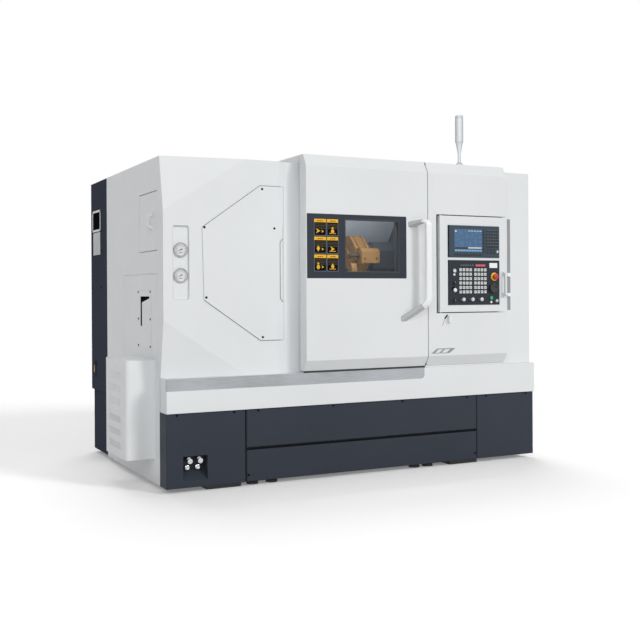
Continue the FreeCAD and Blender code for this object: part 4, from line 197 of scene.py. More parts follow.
def metal(name, colour, rough=0.3, stretch=(1.0, 1.0, 1.0), scale=60.0, depth=0.00002,
          change=0.12, edge=0.0, metallic=1.0):
    """Worked metal: lines or a fine grain that follow the stretch."""
    tree, shader = start_finish(name)
    shader.inputs["Metallic"].default_value = metallic
    lines = noise(tree, scale, 4.0, stretch)
    patches = spread(tree, noise(tree, *PATCHY))
    tone = blend_colours(tree, patches, shade(colour, 1.0 - change), colour)
    tone = blend_colours(tree, spread(tree, lines, 0.0, 0.5), tone, shade(colour, 1.0 + change))
    set_surface(tree, shader, tone, spread(tree, lines, rough - 0.06, rough + 0.08))
    relief(tree, shader, lines, depth, edge)


def plastic(name, colour, rough=0.4, edge=0.0):
    """Moulded plastic: fine spark grain and a slight change of gloss."""
    tree, shader = start_finish(name)
    handled = spread(tree, noise(tree, *HANDLED))
    tone = blend_colours(tree, handled, shade(colour, 0.92), shade(colour, 1.06))
    touched = spread(tree, noise(tree, *TOUCHED), rough - 0.05, rough + 0.07)
    set_surface(tree, shader, tone, touched)
    relief(tree, shader, noise(tree, *SPARK), 0.00003, edge)


def pane(name, colour, see_through):
    """Clear laminated glass, with faint smears in its gloss."""
    tree, shader = start_finish(name)
    smear = noise(tree, 6.0, 4.0, (1.0, 1.0, 3.0))
    tone = blend_colours(tree, smear, shade(colour, 0.9), colour)
    set_surface(tree, shader, tone, spread(tree, smear, 0.02, 0.09))
    shader.inputs["Alpha"].default_value = see_through


def lit_page(name, colour):
    """Screen of the control: a blue page, slightly uneven, that glows a little."""
    tree, shader = start_finish(name)
    cloudy = spread(tree, noise(tree, 45.0, 3.0))
    page = blend_colours(tree, cloudy, shade(colour, 0.86), shade(colour, 1.14))
    set_surface(tree, shader, page, spread(tree, cloudy, 0.18, 0.30))
    wire(tree, (page, shader.inputs["Emission Color"]))
    shader.inputs["Emission Strength"].default_value = 0.16


def clear_tube(name, middle, rim):
    """Clear moulded tube: pale where it is seen square on, darker where it is seen edge on."""
    tree, shader = start_finish(name)
    slant = tree.nodes.new("ShaderNodeLayerWeight")
    slant.inputs["Blend"].default_value = 0.55
    slanted = slant.outputs["Facing"]
    uneven = noise(tree, 25.0, 2.0)
    pale = blend_colours(tree, uneven, shade(middle, 0.95), middle)
    # The darker colour where the tube is seen edge on is painted shade, standing in for the dark
    # edges that refraction gives.
    tone = blend_colours(tree, slanted, pale, rim)
    set_surface(tree, shader, tone, spread(tree, uneven, 0.05, 0.12))
    # The faint glow is painted light that lifts the pale middle of the tube, which is not lit.
    wire(tree, (tone, shader.inputs["Emission Color"]),
         (spread(tree, slanted, 0.78, 1.0), shader.inputs["Alpha"]))
    shader.inputs["Emission Strength"].default_value = 0.18


coat("white_coat", (0.79, 0.805, 0.815), rough=0.42, edge=0.003)
coat("slate_coat", (0.036, 0.043, 0.058), rough=0.5, edge=0.003, change=0.08, gloss=0.15)
coat("cabinet_coat", (0.060, 0.067, 0.089), rough=0.6, edge=0.003, change=0.08, gloss=0.0)
coat("matt_black", (0.008, 0.008, 0.010), rough=0.7, change=0.2, gloss=0.0)
coat("bright_white", (0.93, 0.94, 0.95), rough=0.35, edge=0.002)
# Grey of the door handle's legs: painted shade on the handle's white paint.
coat("leg_grey", (0.50, 0.51, 0.52), rough=0.4, edge=0.002)
coat("display_coat", (0.045, 0.068, 0.090), edge=0.001, gloss=0.2)
coat("board_coat", (0.030, 0.036, 0.046), edge=0.001, gloss=0.15)
coat("deep_grey", (0.032, 0.036, 0.042), rough=0.5, change=0.1, gloss=0.2)
# Grey of painted shade in slots, and of a painted shadow streak.
coat("slot_grey", (0.33, 0.34, 0.345), rough=0.6, gloss=0.1)
coat("shade_grey_coat", (0.30, 0.31, 0.32), rough=0.5)
coat("guard_sheet", (0.33, 0.36, 0.40), rough=0.35, change=0.14)
coat("right_guard", (0.065, 0.075, 0.090), change=0.1, gloss=0.2)
coat("frame_coat", (0.030, 0.037, 0.050), rough=0.35, depth=0.00001, edge=0.0015, gloss=0.2)
metal("cast_grey", (0.30, 0.31, 0.31), rough=0.5, scale=220.0, depth=0.0002, metallic=0.4)
metal("brushed_rail", (0.40, 0.415, 0.435), rough=0.4, scale=40.0, stretch=(0.3, 12.0, 12.0),
      metallic=0.55, edge=0.001, change=0.35)
metal("ground_steel", (0.50, 0.51, 0.52), rough=0.26, scale=50.0, stretch=(1.0, 12.0, 12.0),
      edge=0.0008)
metal("bright_steel", (0.66, 0.67, 0.68), rough=0.2, scale=90.0, edge=0.0005)
metal("oiled_steel", (0.21, 0.115, 0.035), rough=0.36, scale=45.0, stretch=(1.0, 8.0, 8.0),
      metallic=0.35, edge=0.0015, change=0.4)
metal("black_steel", (0.05, 0.05, 0.05), rough=0.35, scale=80.0, metallic=0.7, edge=0.0006)
metal("gauge_chrome", (0.50, 0.51, 0.53), rough=0.2, scale=30.0, depth=0.000004)
metal("chrome", (0.75, 0.75, 0.76), rough=0.12, scale=30.0, depth=0.000004)
plastic("black_plastic", (0.018, 0.018, 0.020), edge=0.0006)
plastic("key_plastic", (0.010, 0.012, 0.016), rough=0.5, edge=0.0005)
plastic("legend_grey", (0.20, 0.24, 0.28), rough=0.5)
plastic("white_plastic", (0.72, 0.73, 0.72), rough=0.35, edge=0.0005)
plastic("red_plastic", (0.62, 0.022, 0.016), rough=0.3)
plastic("lit_red", (0.75, 0.12, 0.14))
plastic("lit_blue", (0.20, 0.42, 0.66))
plastic("yellow_plastic", (0.86, 0.46, 0.008), rough=0.45)
plastic("ring_yellow", (0.88, 0.64, 0.02))
plastic("plate_brown", (0.075, 0.055, 0.025), rough=0.6)
plastic("green_plastic", (0.02, 0.42, 0.12), rough=0.3)
clear_tube("clear_plastic", (0.86, 0.89, 0.92), (0.03, 0.035, 0.045))
pane("window_pane", (0.10, 0.12, 0.14), 0.10)
lit_page("lit_screen", (0.05, 0.12, 0.23))

slot_finish = {
    "white_paint": "white_coat", "dark_paint": "slate_coat", "slate_paint": "white_coat",
    "slate_plastic": "display_coat", "grey_paint": "white_coat", "brushed": "brushed_rail",
    "steel": "ground_steel", "casting": "cast_grey", "inner_sheet": "guard_sheet",
    "chrome": "chrome", "glass": "window_pane", "screen": "lit_screen",
    "lamp_plastic": "clear_plastic", "dark_plastic": "black_plastic",
    "white_plastic": "white_plastic", "red_plastic": "red_plastic",
    "green_plastic": "green_plastic", "tool_steel": "oiled_steel",
}
node_finish = {
    "window_frame": "frame_coat", "operator_panel": "board_coat", "tool_bars": "black_steel",
    "chuck_body": "bright_steel", "levelling_pads": "black_steel", "spindle_motor": "slate_coat",
    "rear_cabinet": "cabinet_coat", "guard_right": "right_guard", "hose_fittings": "bright_steel",
    "cross_slide": "deep_grey", "carriage": "deep_grey",
}
for part in frame["record"]["subparts"]:
    node = part["node"]
    chosen = node_finish.get(node, slot_finish[part["material_slot"]])
    mesh = nodes[node].data
    mesh.materials.clear()
    mesh.materials.append(finishes[chosen])

# Looks of the added pieces: the record's slot, and the finish.
MATT = ("dark_plastic", "matt_black")
BLACK = ("dark_plastic", "black_plastic")
LINING = ("dark_plastic", "deep_grey")
SIGN = ("dark_plastic", "legend_grey")
LEGEND = ("slate_plastic", "legend_grey")
FAINT = ("white_plastic", "legend_grey")
WHITE = ("white_plastic", "white_plastic")
BRIGHT = ("white_plastic", "bright_white")
YELLOW = ("white_plastic", "yellow_plastic")
DARK_KEY = ("white_plastic", "key_plastic")
PAINT = ("white_paint", "white_coat")
BRIGHT_PAINT = ("white_paint", "bright_white")
# Painted shade grey, for slots and a shadow streak.
PAINTED_SHADE_GREY = ("grey_paint", "slot_grey")
SHADOW = ("grey_paint", "shade_grey_coat")
CLEAR = ("lamp_plastic", "clear_plastic")


# ---------------------------------------------------------------- making pieces

def add_piece(name, mesh, body, look):
    """Puts a finished mesh in the scene, on the body that carries it."""
    slot, finish = look
    piece = bpy.data.objects.new(name, mesh)
    bpy.context.scene.collection.objects.link(piece)
    mesh.materials.clear()
    mesh.materials.append(finishes[finish])
    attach(piece, body)
    return piece


def close_mesh(name, shape, smooth=False):
    """Turns a bmesh into a mesh with its faces outwards."""
    bmesh.ops.remove_doubles(shape, verts=shape.verts, dist=1e-6)
    bmesh.ops.recalc_face_normals(shape, faces=shape.faces)
    mesh = bpy.data.meshes.new(name)
    shape.to_mesh(mesh)
    shape.free()
    if smooth:
        mesh.shade_smooth()
        mesh.set_sharp_from_angle(angle=math.radians(35.0))
    return mesh


def rounded_block(shape, low, high, bevel):
    """Adds a box with bevelled edges, from corner to corner, in metres."""
    made = bmesh.ops.create_cube(shape, size=1.0)["verts"]
    bmesh.ops.scale(shape, vec=high - low, verts=made)
    bmesh.ops.translate(shape, vec=(low + high) / 2.0, verts=made)
    edges = list({edge for vert in made for edge in vert.link_edges})
    bmesh.ops.bevel(shape, geom=edges, offset=bevel, segments=2, affect="EDGES", profile=0.6,
                    clamp_overlap=True)


def join_loops(shape, loops):
    """Adds the faces between each loop of corners and the next; a loop of one is a point."""
    for lower, upper in zip(loops, loops[1:]):
        count = max(len(lower), len(upper))
        for step in range(count):
            after = (step + 1) % count
            face = [lower[step % len(lower)], lower[after % len(lower)],
                    upper[after % len(upper)], upper[step % len(upper)]]
            face = list(dict.fromkeys(face))
            if len(face) > 2:
                shape.faces.new(face)


def closed_run(shape, outlines):
    """Adds a solid through outlines of as many points each, closed at both ends."""
    loops = [[shape.verts.new(point) for point in outline] for outline in outlines]
    join_loops(shape, loops)
    shape.faces.new(loops[0])
    shape.faces.new(loops[-1])


def blocks(name, corners, bevel, body, look):
    """One piece made of small bevelled blocks, from their low and high corners."""
    shape = bmesh.new()
    for low, high in corners:
        rounded_block(shape, spot(*low), spot(*high), bevel * MM)
    return add_piece(name, close_mesh(name, shape), body, look)


def front_plates(name, outlines, y, thick, body, look):
    """Thin plates that face the front, from outlines of (across, height)."""
    shape = bmesh.new()
    for outline in outlines:
        closed_run(shape, [[spot(x, level, z) for x, z in outline] for level in (y - thick, y)])
    return add_piece(name, close_mesh(name, shape), body, look)


def side_plates(name, outlines, x, thick, look):
    """Thin plates that face left, from outlines of (depth, height)."""
    shape = bmesh.new()
    for outline in outlines:
        closed_run(shape, [[spot(level, y, z) for y, z in outline] for level in (x - thick, x)])
    return add_piece(name, close_mesh(name, shape), "machine", look)


def oblong(left, low, right, high):
    return [(left, low), (right, low), (right, high), (left, high)]


def many_sided(x, z, radius, sides, wide=1.0):
    corners = []
    for step in range(sides):
        angle = math.tau * step / sides
        corners.append((x + radius * wide * math.cos(angle), z + radius * math.sin(angle)))
    return corners


def spoke_mark(x, z, angle, near, far, half):
    """Thin mark along a spoke of a round scale."""
    spoke = Vector((math.cos(angle), math.sin(angle)))
    side = Vector((-spoke.y, spoke.x)) * half
    ends = (spoke * near - side, spoke * far - side, spoke * far + side, spoke * near + side)
    return [(x + point.x, z + point.y) for point in ends]


def turn_in(shape, centre, outline, out=FRONT, sides=40, ridge=0.0):
    """Adds a form turned round an axis through a centre in metres; ridge knurls its rim."""
    upward = UP if out == FRONT else BACK
    widest = max(radius for radius, height in outline)
    rings = []
    for radius, height in outline:
        ring = []
        for step in range(sides if radius else 1):
            angle = math.tau * step / sides
            reach = radius - ridge * (step % 2) * (radius == widest)
            spoke = RIGHT * math.cos(angle) + upward * math.sin(angle)
            ring.append(shape.verts.new(centre + (spoke * reach + out * height) * MM))
        rings.append(ring)
    join_loops(shape, rings)


def turned(name, outline, sides=24):
    """Mesh turned round Z from an outline of (radius, height)."""
    shape = bmesh.new()
    turn_in(shape, Vector(), outline, UP, sides)
    return close_mesh(name, shape, smooth=True)


def turned_piece(name, places, outline, body, look, out=FRONT, sides=40):
    """Piece with a turned form at each place."""
    shape = bmesh.new()
    for place in places:
        turn_in(shape, spot(*place), outline, out, sides)
    return add_piece(name, close_mesh(name, shape, smooth=True), body, look)


def solids_of(node):
    """Centre and size of each separate solid in a node, in metres."""
    shape = bmesh.new()
    shape.from_mesh(nodes[node].data)
    bmesh.ops.remove_doubles(shape, verts=shape.verts, dist=1e-6)
    left = set(shape.verts)
    found = []
    while left:
        queue = [left.pop()]
        group = []
        while queue:
            vert = queue.pop()
            group.append(vert.co.copy())
            for edge in vert.link_edges:
                other = edge.other_vert(vert)
                if other in left:
                    left.discard(other)
                    queue.append(other)
        low = Vector([min(point[axis] for point in group) for axis in range(3)])
        high = Vector([max(point[axis] for point in group) for axis in range(3)])
        found.append(((low + high) / 2.0, high - low))
    shape.free()
    found.sort(key=lambda item: tuple(round(part, 4) for part in item[0]))
    return found


# ---------------------------------------------------------------- node trees for repeats

def new_tree(name, sockets):
    """Node tree with a geometry in and out, named inputs and a finish; gives its inputs."""
    tree = bpy.data.node_groups.new(name, "GeometryNodeTree")
    add = tree.interface.new_socket
    add(name="Geometry", in_out="OUTPUT", socket_type="NodeSocketGeometry")
    for label, kind in {"Geometry": "Geometry", **sockets, "Finish": "Material"}.items():
        add(name=label, in_out="INPUT", socket_type="NodeSocket" + kind)
    return tree, tree.nodes.new("NodeGroupInput").outputs


def end_tree(tree, given, last):
    """Realizes the instances and sets the material."""
    realize = tree.nodes.new("GeometryNodeRealizeInstances")
    paint = tree.nodes.new("GeometryNodeSetMaterial")
    output = tree.nodes.new("NodeGroupOutput")
    wire(tree, (last, realize.inputs[0]), (realize.outputs[0], paint.inputs["Geometry"]),
         (given["Finish"], paint.inputs["Material"]), (paint.outputs[0], output.inputs[0]))
    return tree


def copies_tree():
    """Copies of one part on points, each turned so that its Z follows the point's facing."""
    tree, given = new_tree("copies_on_points", {"Part": "Object"})
    part = tree.nodes.new("GeometryNodeObjectInfo")
    facing = tree.nodes.new("GeometryNodeInputNamedAttribute")
    facing.data_type = "FLOAT_VECTOR"
    facing.inputs["Name"].default_value = "facing"
    turn = tree.nodes.new("FunctionNodeAlignRotationToVector")
    turn.axis = "Z"
    place = tree.nodes.new("GeometryNodeInstanceOnPoints")
    wire(tree, (given["Part"], part.inputs["Object"]),
         (facing.outputs["Attribute"], turn.inputs["Vector"]),
         (given["Geometry"], place.inputs["Points"]),
         (part.outputs["Geometry"], place.inputs["Instance"]),
         (turn.outputs["Rotation"], place.inputs["Rotation"]))
    return end_tree(tree, given, place.outputs["Instances"])


def grid_tree():
    """Copies of one part in rows and columns on a plane that is turned and moved."""
    tree, given = new_tree("rows_and_columns", {
        "Part": "Object", "Width": "Float", "Height": "Float", "Columns": "Int", "Rows": "Int",
        "Middle": "Vector", "Turn": "Rotation"})
    grid = tree.nodes.new("GeometryNodeMeshGrid")
    part = tree.nodes.new("GeometryNodeObjectInfo")
    place = tree.nodes.new("GeometryNodeInstanceOnPoints")
    stand = tree.nodes.new("GeometryNodeTransform")
    wire(tree, (given["Width"], grid.inputs["Size X"]), (given["Height"], grid.inputs["Size Y"]),
         (given["Columns"], grid.inputs["Vertices X"]), (given["Rows"], grid.inputs["Vertices Y"]),
         (given["Part"], part.inputs["Object"]), (grid.outputs["Mesh"], place.inputs["Points"]),
         (part.outputs["Geometry"], place.inputs["Instance"]),
         (place.outputs["Instances"], stand.inputs["Geometry"]),
         (given["Middle"], stand.inputs["Translation"]), (given["Turn"], stand.inputs["Rotation"]))
    return end_tree(tree, given, stand.outputs["Geometry"])


def rings_tree():
    """Rings of round section in a row."""
    tree, given = new_tree("rings_up_a_tube", {
        "Radius": "Float", "Section": "Float", "Count": "Int", "Start": "Vector",
        "Pitch": "Vector"})
    path = tree.nodes.new("GeometryNodeCurvePrimitiveCircle")
    path.inputs["Resolution"].default_value = 32
    section = tree.nodes.new("GeometryNodeCurvePrimitiveCircle")
    section.inputs["Resolution"].default_value = 6
    ring = tree.nodes.new("GeometryNodeCurveToMesh")
    line = tree.nodes.new("GeometryNodeMeshLine")
    place = tree.nodes.new("GeometryNodeInstanceOnPoints")
    wire(tree, (given["Radius"], path.inputs["Radius"]),
         (given["Section"], section.inputs["Radius"]),
         (path.outputs["Curve"], ring.inputs["Curve"]),
         (section.outputs["Curve"], ring.inputs["Profile Curve"]),
         (given["Count"], line.inputs["Count"]), (given["Start"], line.inputs["Start Location"]),
         (given["Pitch"], line.inputs["Offset"]), (line.outputs["Mesh"], place.inputs["Points"]),
         (ring.outputs["Mesh"], place.inputs["Instance"]))
    return end_tree(tree, given, place.outputs["Instances"])


trees = {"copies": copies_tree(), "grid": grid_tree(), "rings": rings_tree()}


def grow(name, tree, values, body, look, part=None, start=None):
    """Runs a node tree on a start mesh and keeps its result as a plain piece."""
    if start is None:
        start = bpy.data.meshes.new(name + "_start")
    holders = []
    for mesh in (start, part):
        if mesh is not None:
            holder = bpy.data.objects.new(mesh.name + "_holder", mesh)
            bpy.context.scene.collection.objects.link(holder)
            holders.append(holder)
    given = dict(values, Finish=finishes[look[1]], Part=holders[-1])
    modifier = holders[0].modifiers.new("repeat", "NODES")
    modifier.node_group = trees[tree]
    for item in modifier.node_group.interface.items_tree:
        if item.in_out == "INPUT" and item.name in given:
            modifier[item.identifier] = given[item.name]
    holders[0].update_tag()
    bpy.context.view_layer.update()
    graph = bpy.context.evaluated_depsgraph_get()
    made = bpy.data.meshes.new_from_object(holders[0].evaluated_get(graph))
    made.name = name
    for holder in holders:
        bpy.data.objects.remove(holder)
    return add_piece(name, made, body, look)


def copies(name, part, places, body, look, facings=None):
    """Copies of a part at points in metres, which face the front where nothing else is said."""
    start = bpy.data.meshes.new(name + "_points")
    start.from_pydata([tuple(point) for point in places], [], [])
    attribute = start.attributes.new("facing", "FLOAT_VECTOR", "POINT")
    for number, facing in enumerate(facings or [FRONT] * len(places)):
        attribute.data[number].vector = facing
    return grow(name, "copies", {}, body, look, part, start)


# ---------------------------------------------------------------- screws of the covers

screw_radius = 7.0
screw_tall = 2.2
socket_floor = screw_tall * 0.3
screw_head = turned("cover_screw", [
    (screw_radius, 0.0), (screw_radius, screw_tall * 0.5), (screw_radius * 0.85, screw_tall),
    (screw_radius * 0.5, screw_tall), (screw_radius * 0.45, socket_floor),
    (0.0, socket_floor)], 16)
screw_places = []
screw_facings = []
for middle, size in solids_of("cover_screws"):
    facing = LEFT if size.x < size.y else FRONT
    screw_places.append(middle - facing * min(size.x, size.y) / 2.0)
    screw_facings.append(facing)
cover_screw_heads = copies("cover_screw_heads", screw_head, screw_places, "machine",
                           ("steel", "matt_black"), screw_facings)
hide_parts("cover_screws")


# ---------------------------------------------------------------- operator panel

board_low, board_high = measures("operator_panel")
display_low, display_high = measures("display_unit")
screen_low, screen_high = measures("display_screen")
panel_low, panel_high = measures("panel_frame")
board_y = board_low.y
display_y = display_low.y


def key_cap(name, width, height, rise):
    """Key with bevelled edges, facing Z."""
    shape = bmesh.new()
    half = Vector((width, height, 0.0)) * MM / 2
    rounded_block(shape, -half, half + UP * rise * MM, min(rise * 0.45, width * 0.12) * MM)
    return close_mesh(name, shape, smooth=True)


key_size = 19.0
key_rise = 4.0
keys = []
wide_keys = []
for middle, size in solids_of("operator_keys"):
    place = middle + BACK * size.y / 2.0
    if size.x > size.z * 1.5:
        wide_keys.append(place)
    else:
        keys.append(place)
key_caps = copies("key_caps", key_cap("key_cap", key_size, key_size, key_rise), keys, "panel",
                  WHITE)
row_button_caps = copies("row_button_caps", key_cap("row_button_cap", 2 * key_size, key_size, 6.0),
                         wide_keys, "panel", BLACK)
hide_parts("operator_keys")
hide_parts("operator_keys")

# A small flat mark on each key, a little off its middle, and a dome on each wide button.
mark_wide = 9.0
mark_tall = 5.0
key_marks = []
for number, place in enumerate(keys):
    left = own(place).x - 1.5 + number % 3 - mark_wide / 2
    low = own(place).z + 1.0 - number % 2 - mark_tall / 2
    key_marks.append(oblong(left, low, left + mark_wide, low + mark_tall))
front_plates("key_marks", key_marks, board_y - key_rise, 0.25, "panel", SIGN)
# The domes sit right of the middles of the black caps, so black shows at their left: the caps'
# dark bodies, and painted shade on the domes' shadow side.
dome_places = [own(place) + Vector((12.0, -5.6, 3.0)) for place in wide_keys]
turned_piece("row_button_tops", dome_places,
             [(0.0, 0.0), (11.0, 0.0), (13.0, 1.5), (13.0, 5.0), (11.0, 8.5), (7.0, 10.5),
              (0.0, 11.3)], "panel", WHITE, sides=28)


def key_field(name, part, left, right, low, high, columns, rows):
    """Rows and columns of keys on the display unit, between the middles of the outer ones."""
    grow(name, "grid", {
        "Width": (right - left) * MM, "Height": (high - low) * MM, "Columns": columns,
        "Rows": rows, "Middle": spot((left + right) / 2, display_y, (low + high) / 2),
        "Turn": (math.radians(90.0), 0.0, 0.0)}, "panel", DARK_KEY, part)


soft_z = (display_low.z + screen_low.z) / 2
side_x = screen_high.x + 15.0
pad_left = screen_high.x + 42.0
pad_right = display_high.x - 18.0
pad_top = display_high.z - 34.0
pad_rows = 6
pad_pitch = 20.0
edit_low = display_low.z + 34.0
key_field("soft_keys", key_cap("soft_key", 14.0, 12.0, 2.5), screen_low.x + 8.0,
          screen_high.x - 8.0, soft_z, soft_z, 12, 1)
key_field("side_keys", key_cap("side_key", 15.0, 11.0, 3.0), side_x, side_x,
          screen_low.z + 4.0, screen_high.z - 14.0, 1, 8)
key_field("number_keys", key_cap("number_key", 15.0, 13.0, 3.0), pad_left, pad_right,
          pad_top - pad_pitch * (pad_rows - 1), pad_top, 5, pad_rows)
key_field("edit_keys", key_cap("edit_key", 15.0, 12.0, 3.0), pad_left + 4.0, pad_right - 26.0,
          edit_low, edit_low + pad_pitch, 3, 2)
copies("reset_key", key_cap("reset_key", 13.0, 16.0, 3.0),
       [spot(pad_right, display_y, edit_low + 7.0)], "panel", WHITE)
key_row_lines = []
for row in range(pad_rows):
    height = pad_top - pad_pitch * row + 9.0
    key_row_lines.append(oblong(pad_left - 6.0, height, pad_right + 6.0, height + 1.4))
front_plates("key_row_lines", key_row_lines, display_y, 0.4, "panel", LEGEND)


def on_screen(left, low, right, high):
    """Oblong on the screen, from shares of its width and height."""
    wide = screen_high.x - screen_low.x
    tall = screen_high.z - screen_low.z
    return oblong(screen_low.x + wide * left, screen_low.z + tall * low,
                  screen_low.x + wide * right, screen_low.z + tall * high)


def on_page(name, outlines, look):
    front_plates(name, outlines, screen_low.y, 0.3, "panel", look)


# What the screen shows: a blue page with header dashes, a dark line and a row of fields.
header = [on_screen(0.5 + step * 0.1, 0.90, 0.57 + step * 0.1, 0.93) for step in range(5)]
header.append(on_screen(0.02, 0.86, 0.08, 0.93))
header.append(on_screen(0.49, 0.15, 0.98, 0.20))
on_page("screen_header", header, WHITE)
on_page("screen_line", [on_screen(0.01, 0.11, 0.48, 0.20), on_screen(0.49, 0.11, 0.99, 0.145)],
        BLACK)
on_page("screen_fields", [on_screen(0.015 + step * 0.098, 0.02, 0.095 + step * 0.098, 0.095)
                          for step in range(10)], ("screen", "lit_blue"))

# Lit signals over the right key block, plain marks over the left one, and a white plate.
key_columns = sorted({round(own(place).x, 1) for place in keys})
signal_z = board_high.z - 33.0
signal_lights = []
signal_marks = []
for number in range(4):
    x = key_columns[4] + 13.0 + 19.5 * number
    signal_lights.append(oblong(x - 8.5, signal_z - 6.5, x + 8.5, signal_z + 6.5))
for number in range(6):
    x = key_columns[0] + 8.0 + 18.0 * number
    signal_marks.append(oblong(x - 6.0, signal_z - 3.0, x + 6.0, signal_z - 0.5))
    signal_marks.append(oblong(x - 4.0, signal_z + 3.0, x + 5.0, signal_z + 5.0))
front_plates("signal_lights", signal_lights, board_y, 0.8, "panel", ("red_plastic", "lit_red"))
front_plates("signal_marks", signal_marks, board_y, 0.3, "panel", LEGEND)
blocks("blank_plate", [((board_high.x - 82.0, board_y - 0.8, signal_z - 16.0),
                        (board_high.x - 18.0, board_y, signal_z + 17.0))], 0.35, "panel", BRIGHT)


def on_board(right, up):
    """Point on the board's face, from its left lower corner."""
    return spot(board_low.x + right, board_y, board_low.z + up)


small_lamp = turned("lamp_cap", [(8.0, 0.0), (8.0, 2.0), (6.0, 4.0), (4.0, 5.0), (0.0, 5.4)], 20)
wide_lamp = turned("wide_cap", [(13.0, 0.0), (13.0, 5.0), (11.0, 8.0), (7.0, 10.0), (0.0, 11.0)],
                   28)
copies("board_lamps", small_lamp, [on_board(43.0, 198.0), on_board(338.0, 17.0)], "panel", BRIGHT)
copies("wide_board_lamp", wide_lamp, [on_board(48.0, 97.0)], "panel", BRIGHT)
copies("wide_lamp_foot", turned("wide_foot", [(14.0, 0.0), (14.0, 1.2), (0.0, 1.2)]),
       [on_board(38.0, 105.0)], "panel", MATT)

# Matt black left sides of the two units, partly their dark casing and partly painted shade where
# they stand proud, and matt black strips of painted shade round the edge of the panel.
unit_sides = []
for low, high in ((display_low, display_high), (board_low, board_high)):
    unit_sides.append(((low.x - 4.5, low.y + 0.5, low.z), (low.x - 0.1, panel_low.y, high.z)))
blocks("unit_sides", unit_sides, 0.4, "panel", MATT)
# Painted shade: these strips darken the gap round the panel in its pocket.
gap_shade_front = panel_low.y + 28.0
gap_shade_back = panel_high.y - 2.0
panel_seal = [((panel_low.x - 1.0, gap_shade_front, panel_low.z + 2.0),
               (panel_low.x, gap_shade_back, panel_high.z - 2.0))]
for level in (panel_high.z, panel_low.z - 1.0):
    panel_seal.append(((panel_low.x + 2.0, gap_shade_front, level),
                       (panel_high.x - 2.0, gap_shade_back, level + 1.0)))
blocks("panel_seal", panel_seal, 0.3, "panel", MATT)


# ---------------------------------------------------------------- round controls of the board

def control_of(node):
    """Middle, radius, height before the board and depth behind it, of a round control."""
    low, high = measures(node)
    return ((low.x + high.x) / 2, (low.z + high.z) / 2, (high.x - low.x) / 2,
            board_y - low.y, high.y - board_y)


def round_cap(name, node, body, look, gap, profile, stem, ridge=0.0, more=None):
    """Turned cap and stem that stand for a many-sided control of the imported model. The profile
    holds shares of the radius and drops from the top; a drop of None is the gap at the board."""
    x, z, radius, rise, depth = control_of(node)
    outline = [(0.0, -depth), (stem, -depth), (stem, gap)]
    for share, drop in profile:
        outline.append((radius * share, gap if drop is None else rise - drop))
    shape = bmesh.new()
    turn_in(shape, spot(x, board_y, z), outline, sides=72 if ridge else 40, ridge=ridge)
    if more is not None:
        more(shape, x, z, radius, rise)
    piece = add_piece(name, close_mesh(name, shape, smooth=not ridge), body, look)
    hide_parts(node)


def dial_crank(shape, x, z, radius, rise):
    """Small crank knob on the pulse dial."""
    turn_in(shape, spot(x + radius * 0.6, board_y, z + radius * 0.3),
            [(0.0, rise - 10.5), (4.0, rise - 10.5), (4.0, rise - 8.0), (5.0, rise - 5.0),
             (5.0, rise - 1.0), (4.0, rise), (0.0, rise)], sides=24)


def pointer(wide):
    """Gives the function that adds a raised bar across a knob."""
    def add_pointer(shape, x, z, radius, rise):
        rounded_block(shape, spot(x - wide / 2, board_y - rise, z - radius + 2.0),
                      spot(x + wide / 2, board_y - rise + 6.5, z + radius - 2.0), 0.8 * MM)
    return add_pointer


push_gap = 4.4          # lets a button travel its 4 mm
turn_gap = 0.4
thin_stem = 4.5
thick_stem = 8.0
round_cap("stop_cap", "estop_button", "stop", ("red_plastic", "red_plastic"), push_gap,
          [(0.72, None), (0.74, 14.0), (0.98, 11.0), (1.0, 8.0), (0.94, 4.0), (0.78, 1.4),
           (0.5, 0.3), (0.0, 0.0)], thick_stem)
button_profile = [(1.0, None), (1.0, 1.6), (0.88, 0.0), (0.6, 0.5), (0.0, 0.8)]
round_cap("start_cap", "start_button", "start", ("green_plastic", "green_plastic"), push_gap,
          button_profile, thin_stem)
round_cap("power_cap", "power_button", "power", WHITE, push_gap, button_profile, thin_stem)
round_cap("dial_cap", "pulse_dial", "dial", BLACK, turn_gap,
          [(0.92, None), (1.0, 24.0), (1.0, 13.0), (0.9, 10.2), (0.5, 10.2), (0.45, 10.8),
           (0.0, 10.8)], thick_stem, ridge=1.0, more=dial_crank)
for node, body in (("selector_upper", "knob_high"), ("selector_lower", "knob_low")):
    round_cap(node + "_knob", node, body, BLACK, turn_gap,
              [(1.0, None), (1.0, 9.0), (0.88, 6.0), (0.0, 6.0)], thin_stem, more=pointer(6.0))
    x, z, radius, rise, depth = control_of(node)
    front_plates(node + "_line", [oblong(x - 0.8, z + 1.0, x + 0.8, z + radius - 3.0)],
                 board_y - rise, 0.25, body, WHITE)
round_cap("key_barrel", "key_switch", "key", ("chrome", "bright_steel"), turn_gap,
          [(1.0, None), (1.0, 8.5), (0.85, 6.2), (0.4, 6.2), (0.35, 7.0), (0.0, 7.0)], thin_stem,
          more=pointer(2.5))


def middles(*controls):
    """Points on the board in the middle of round controls."""
    places = []
    for node in controls:
        x, z = control_of(node)[:2]
        places.append(spot(x, board_y, z))
    return places


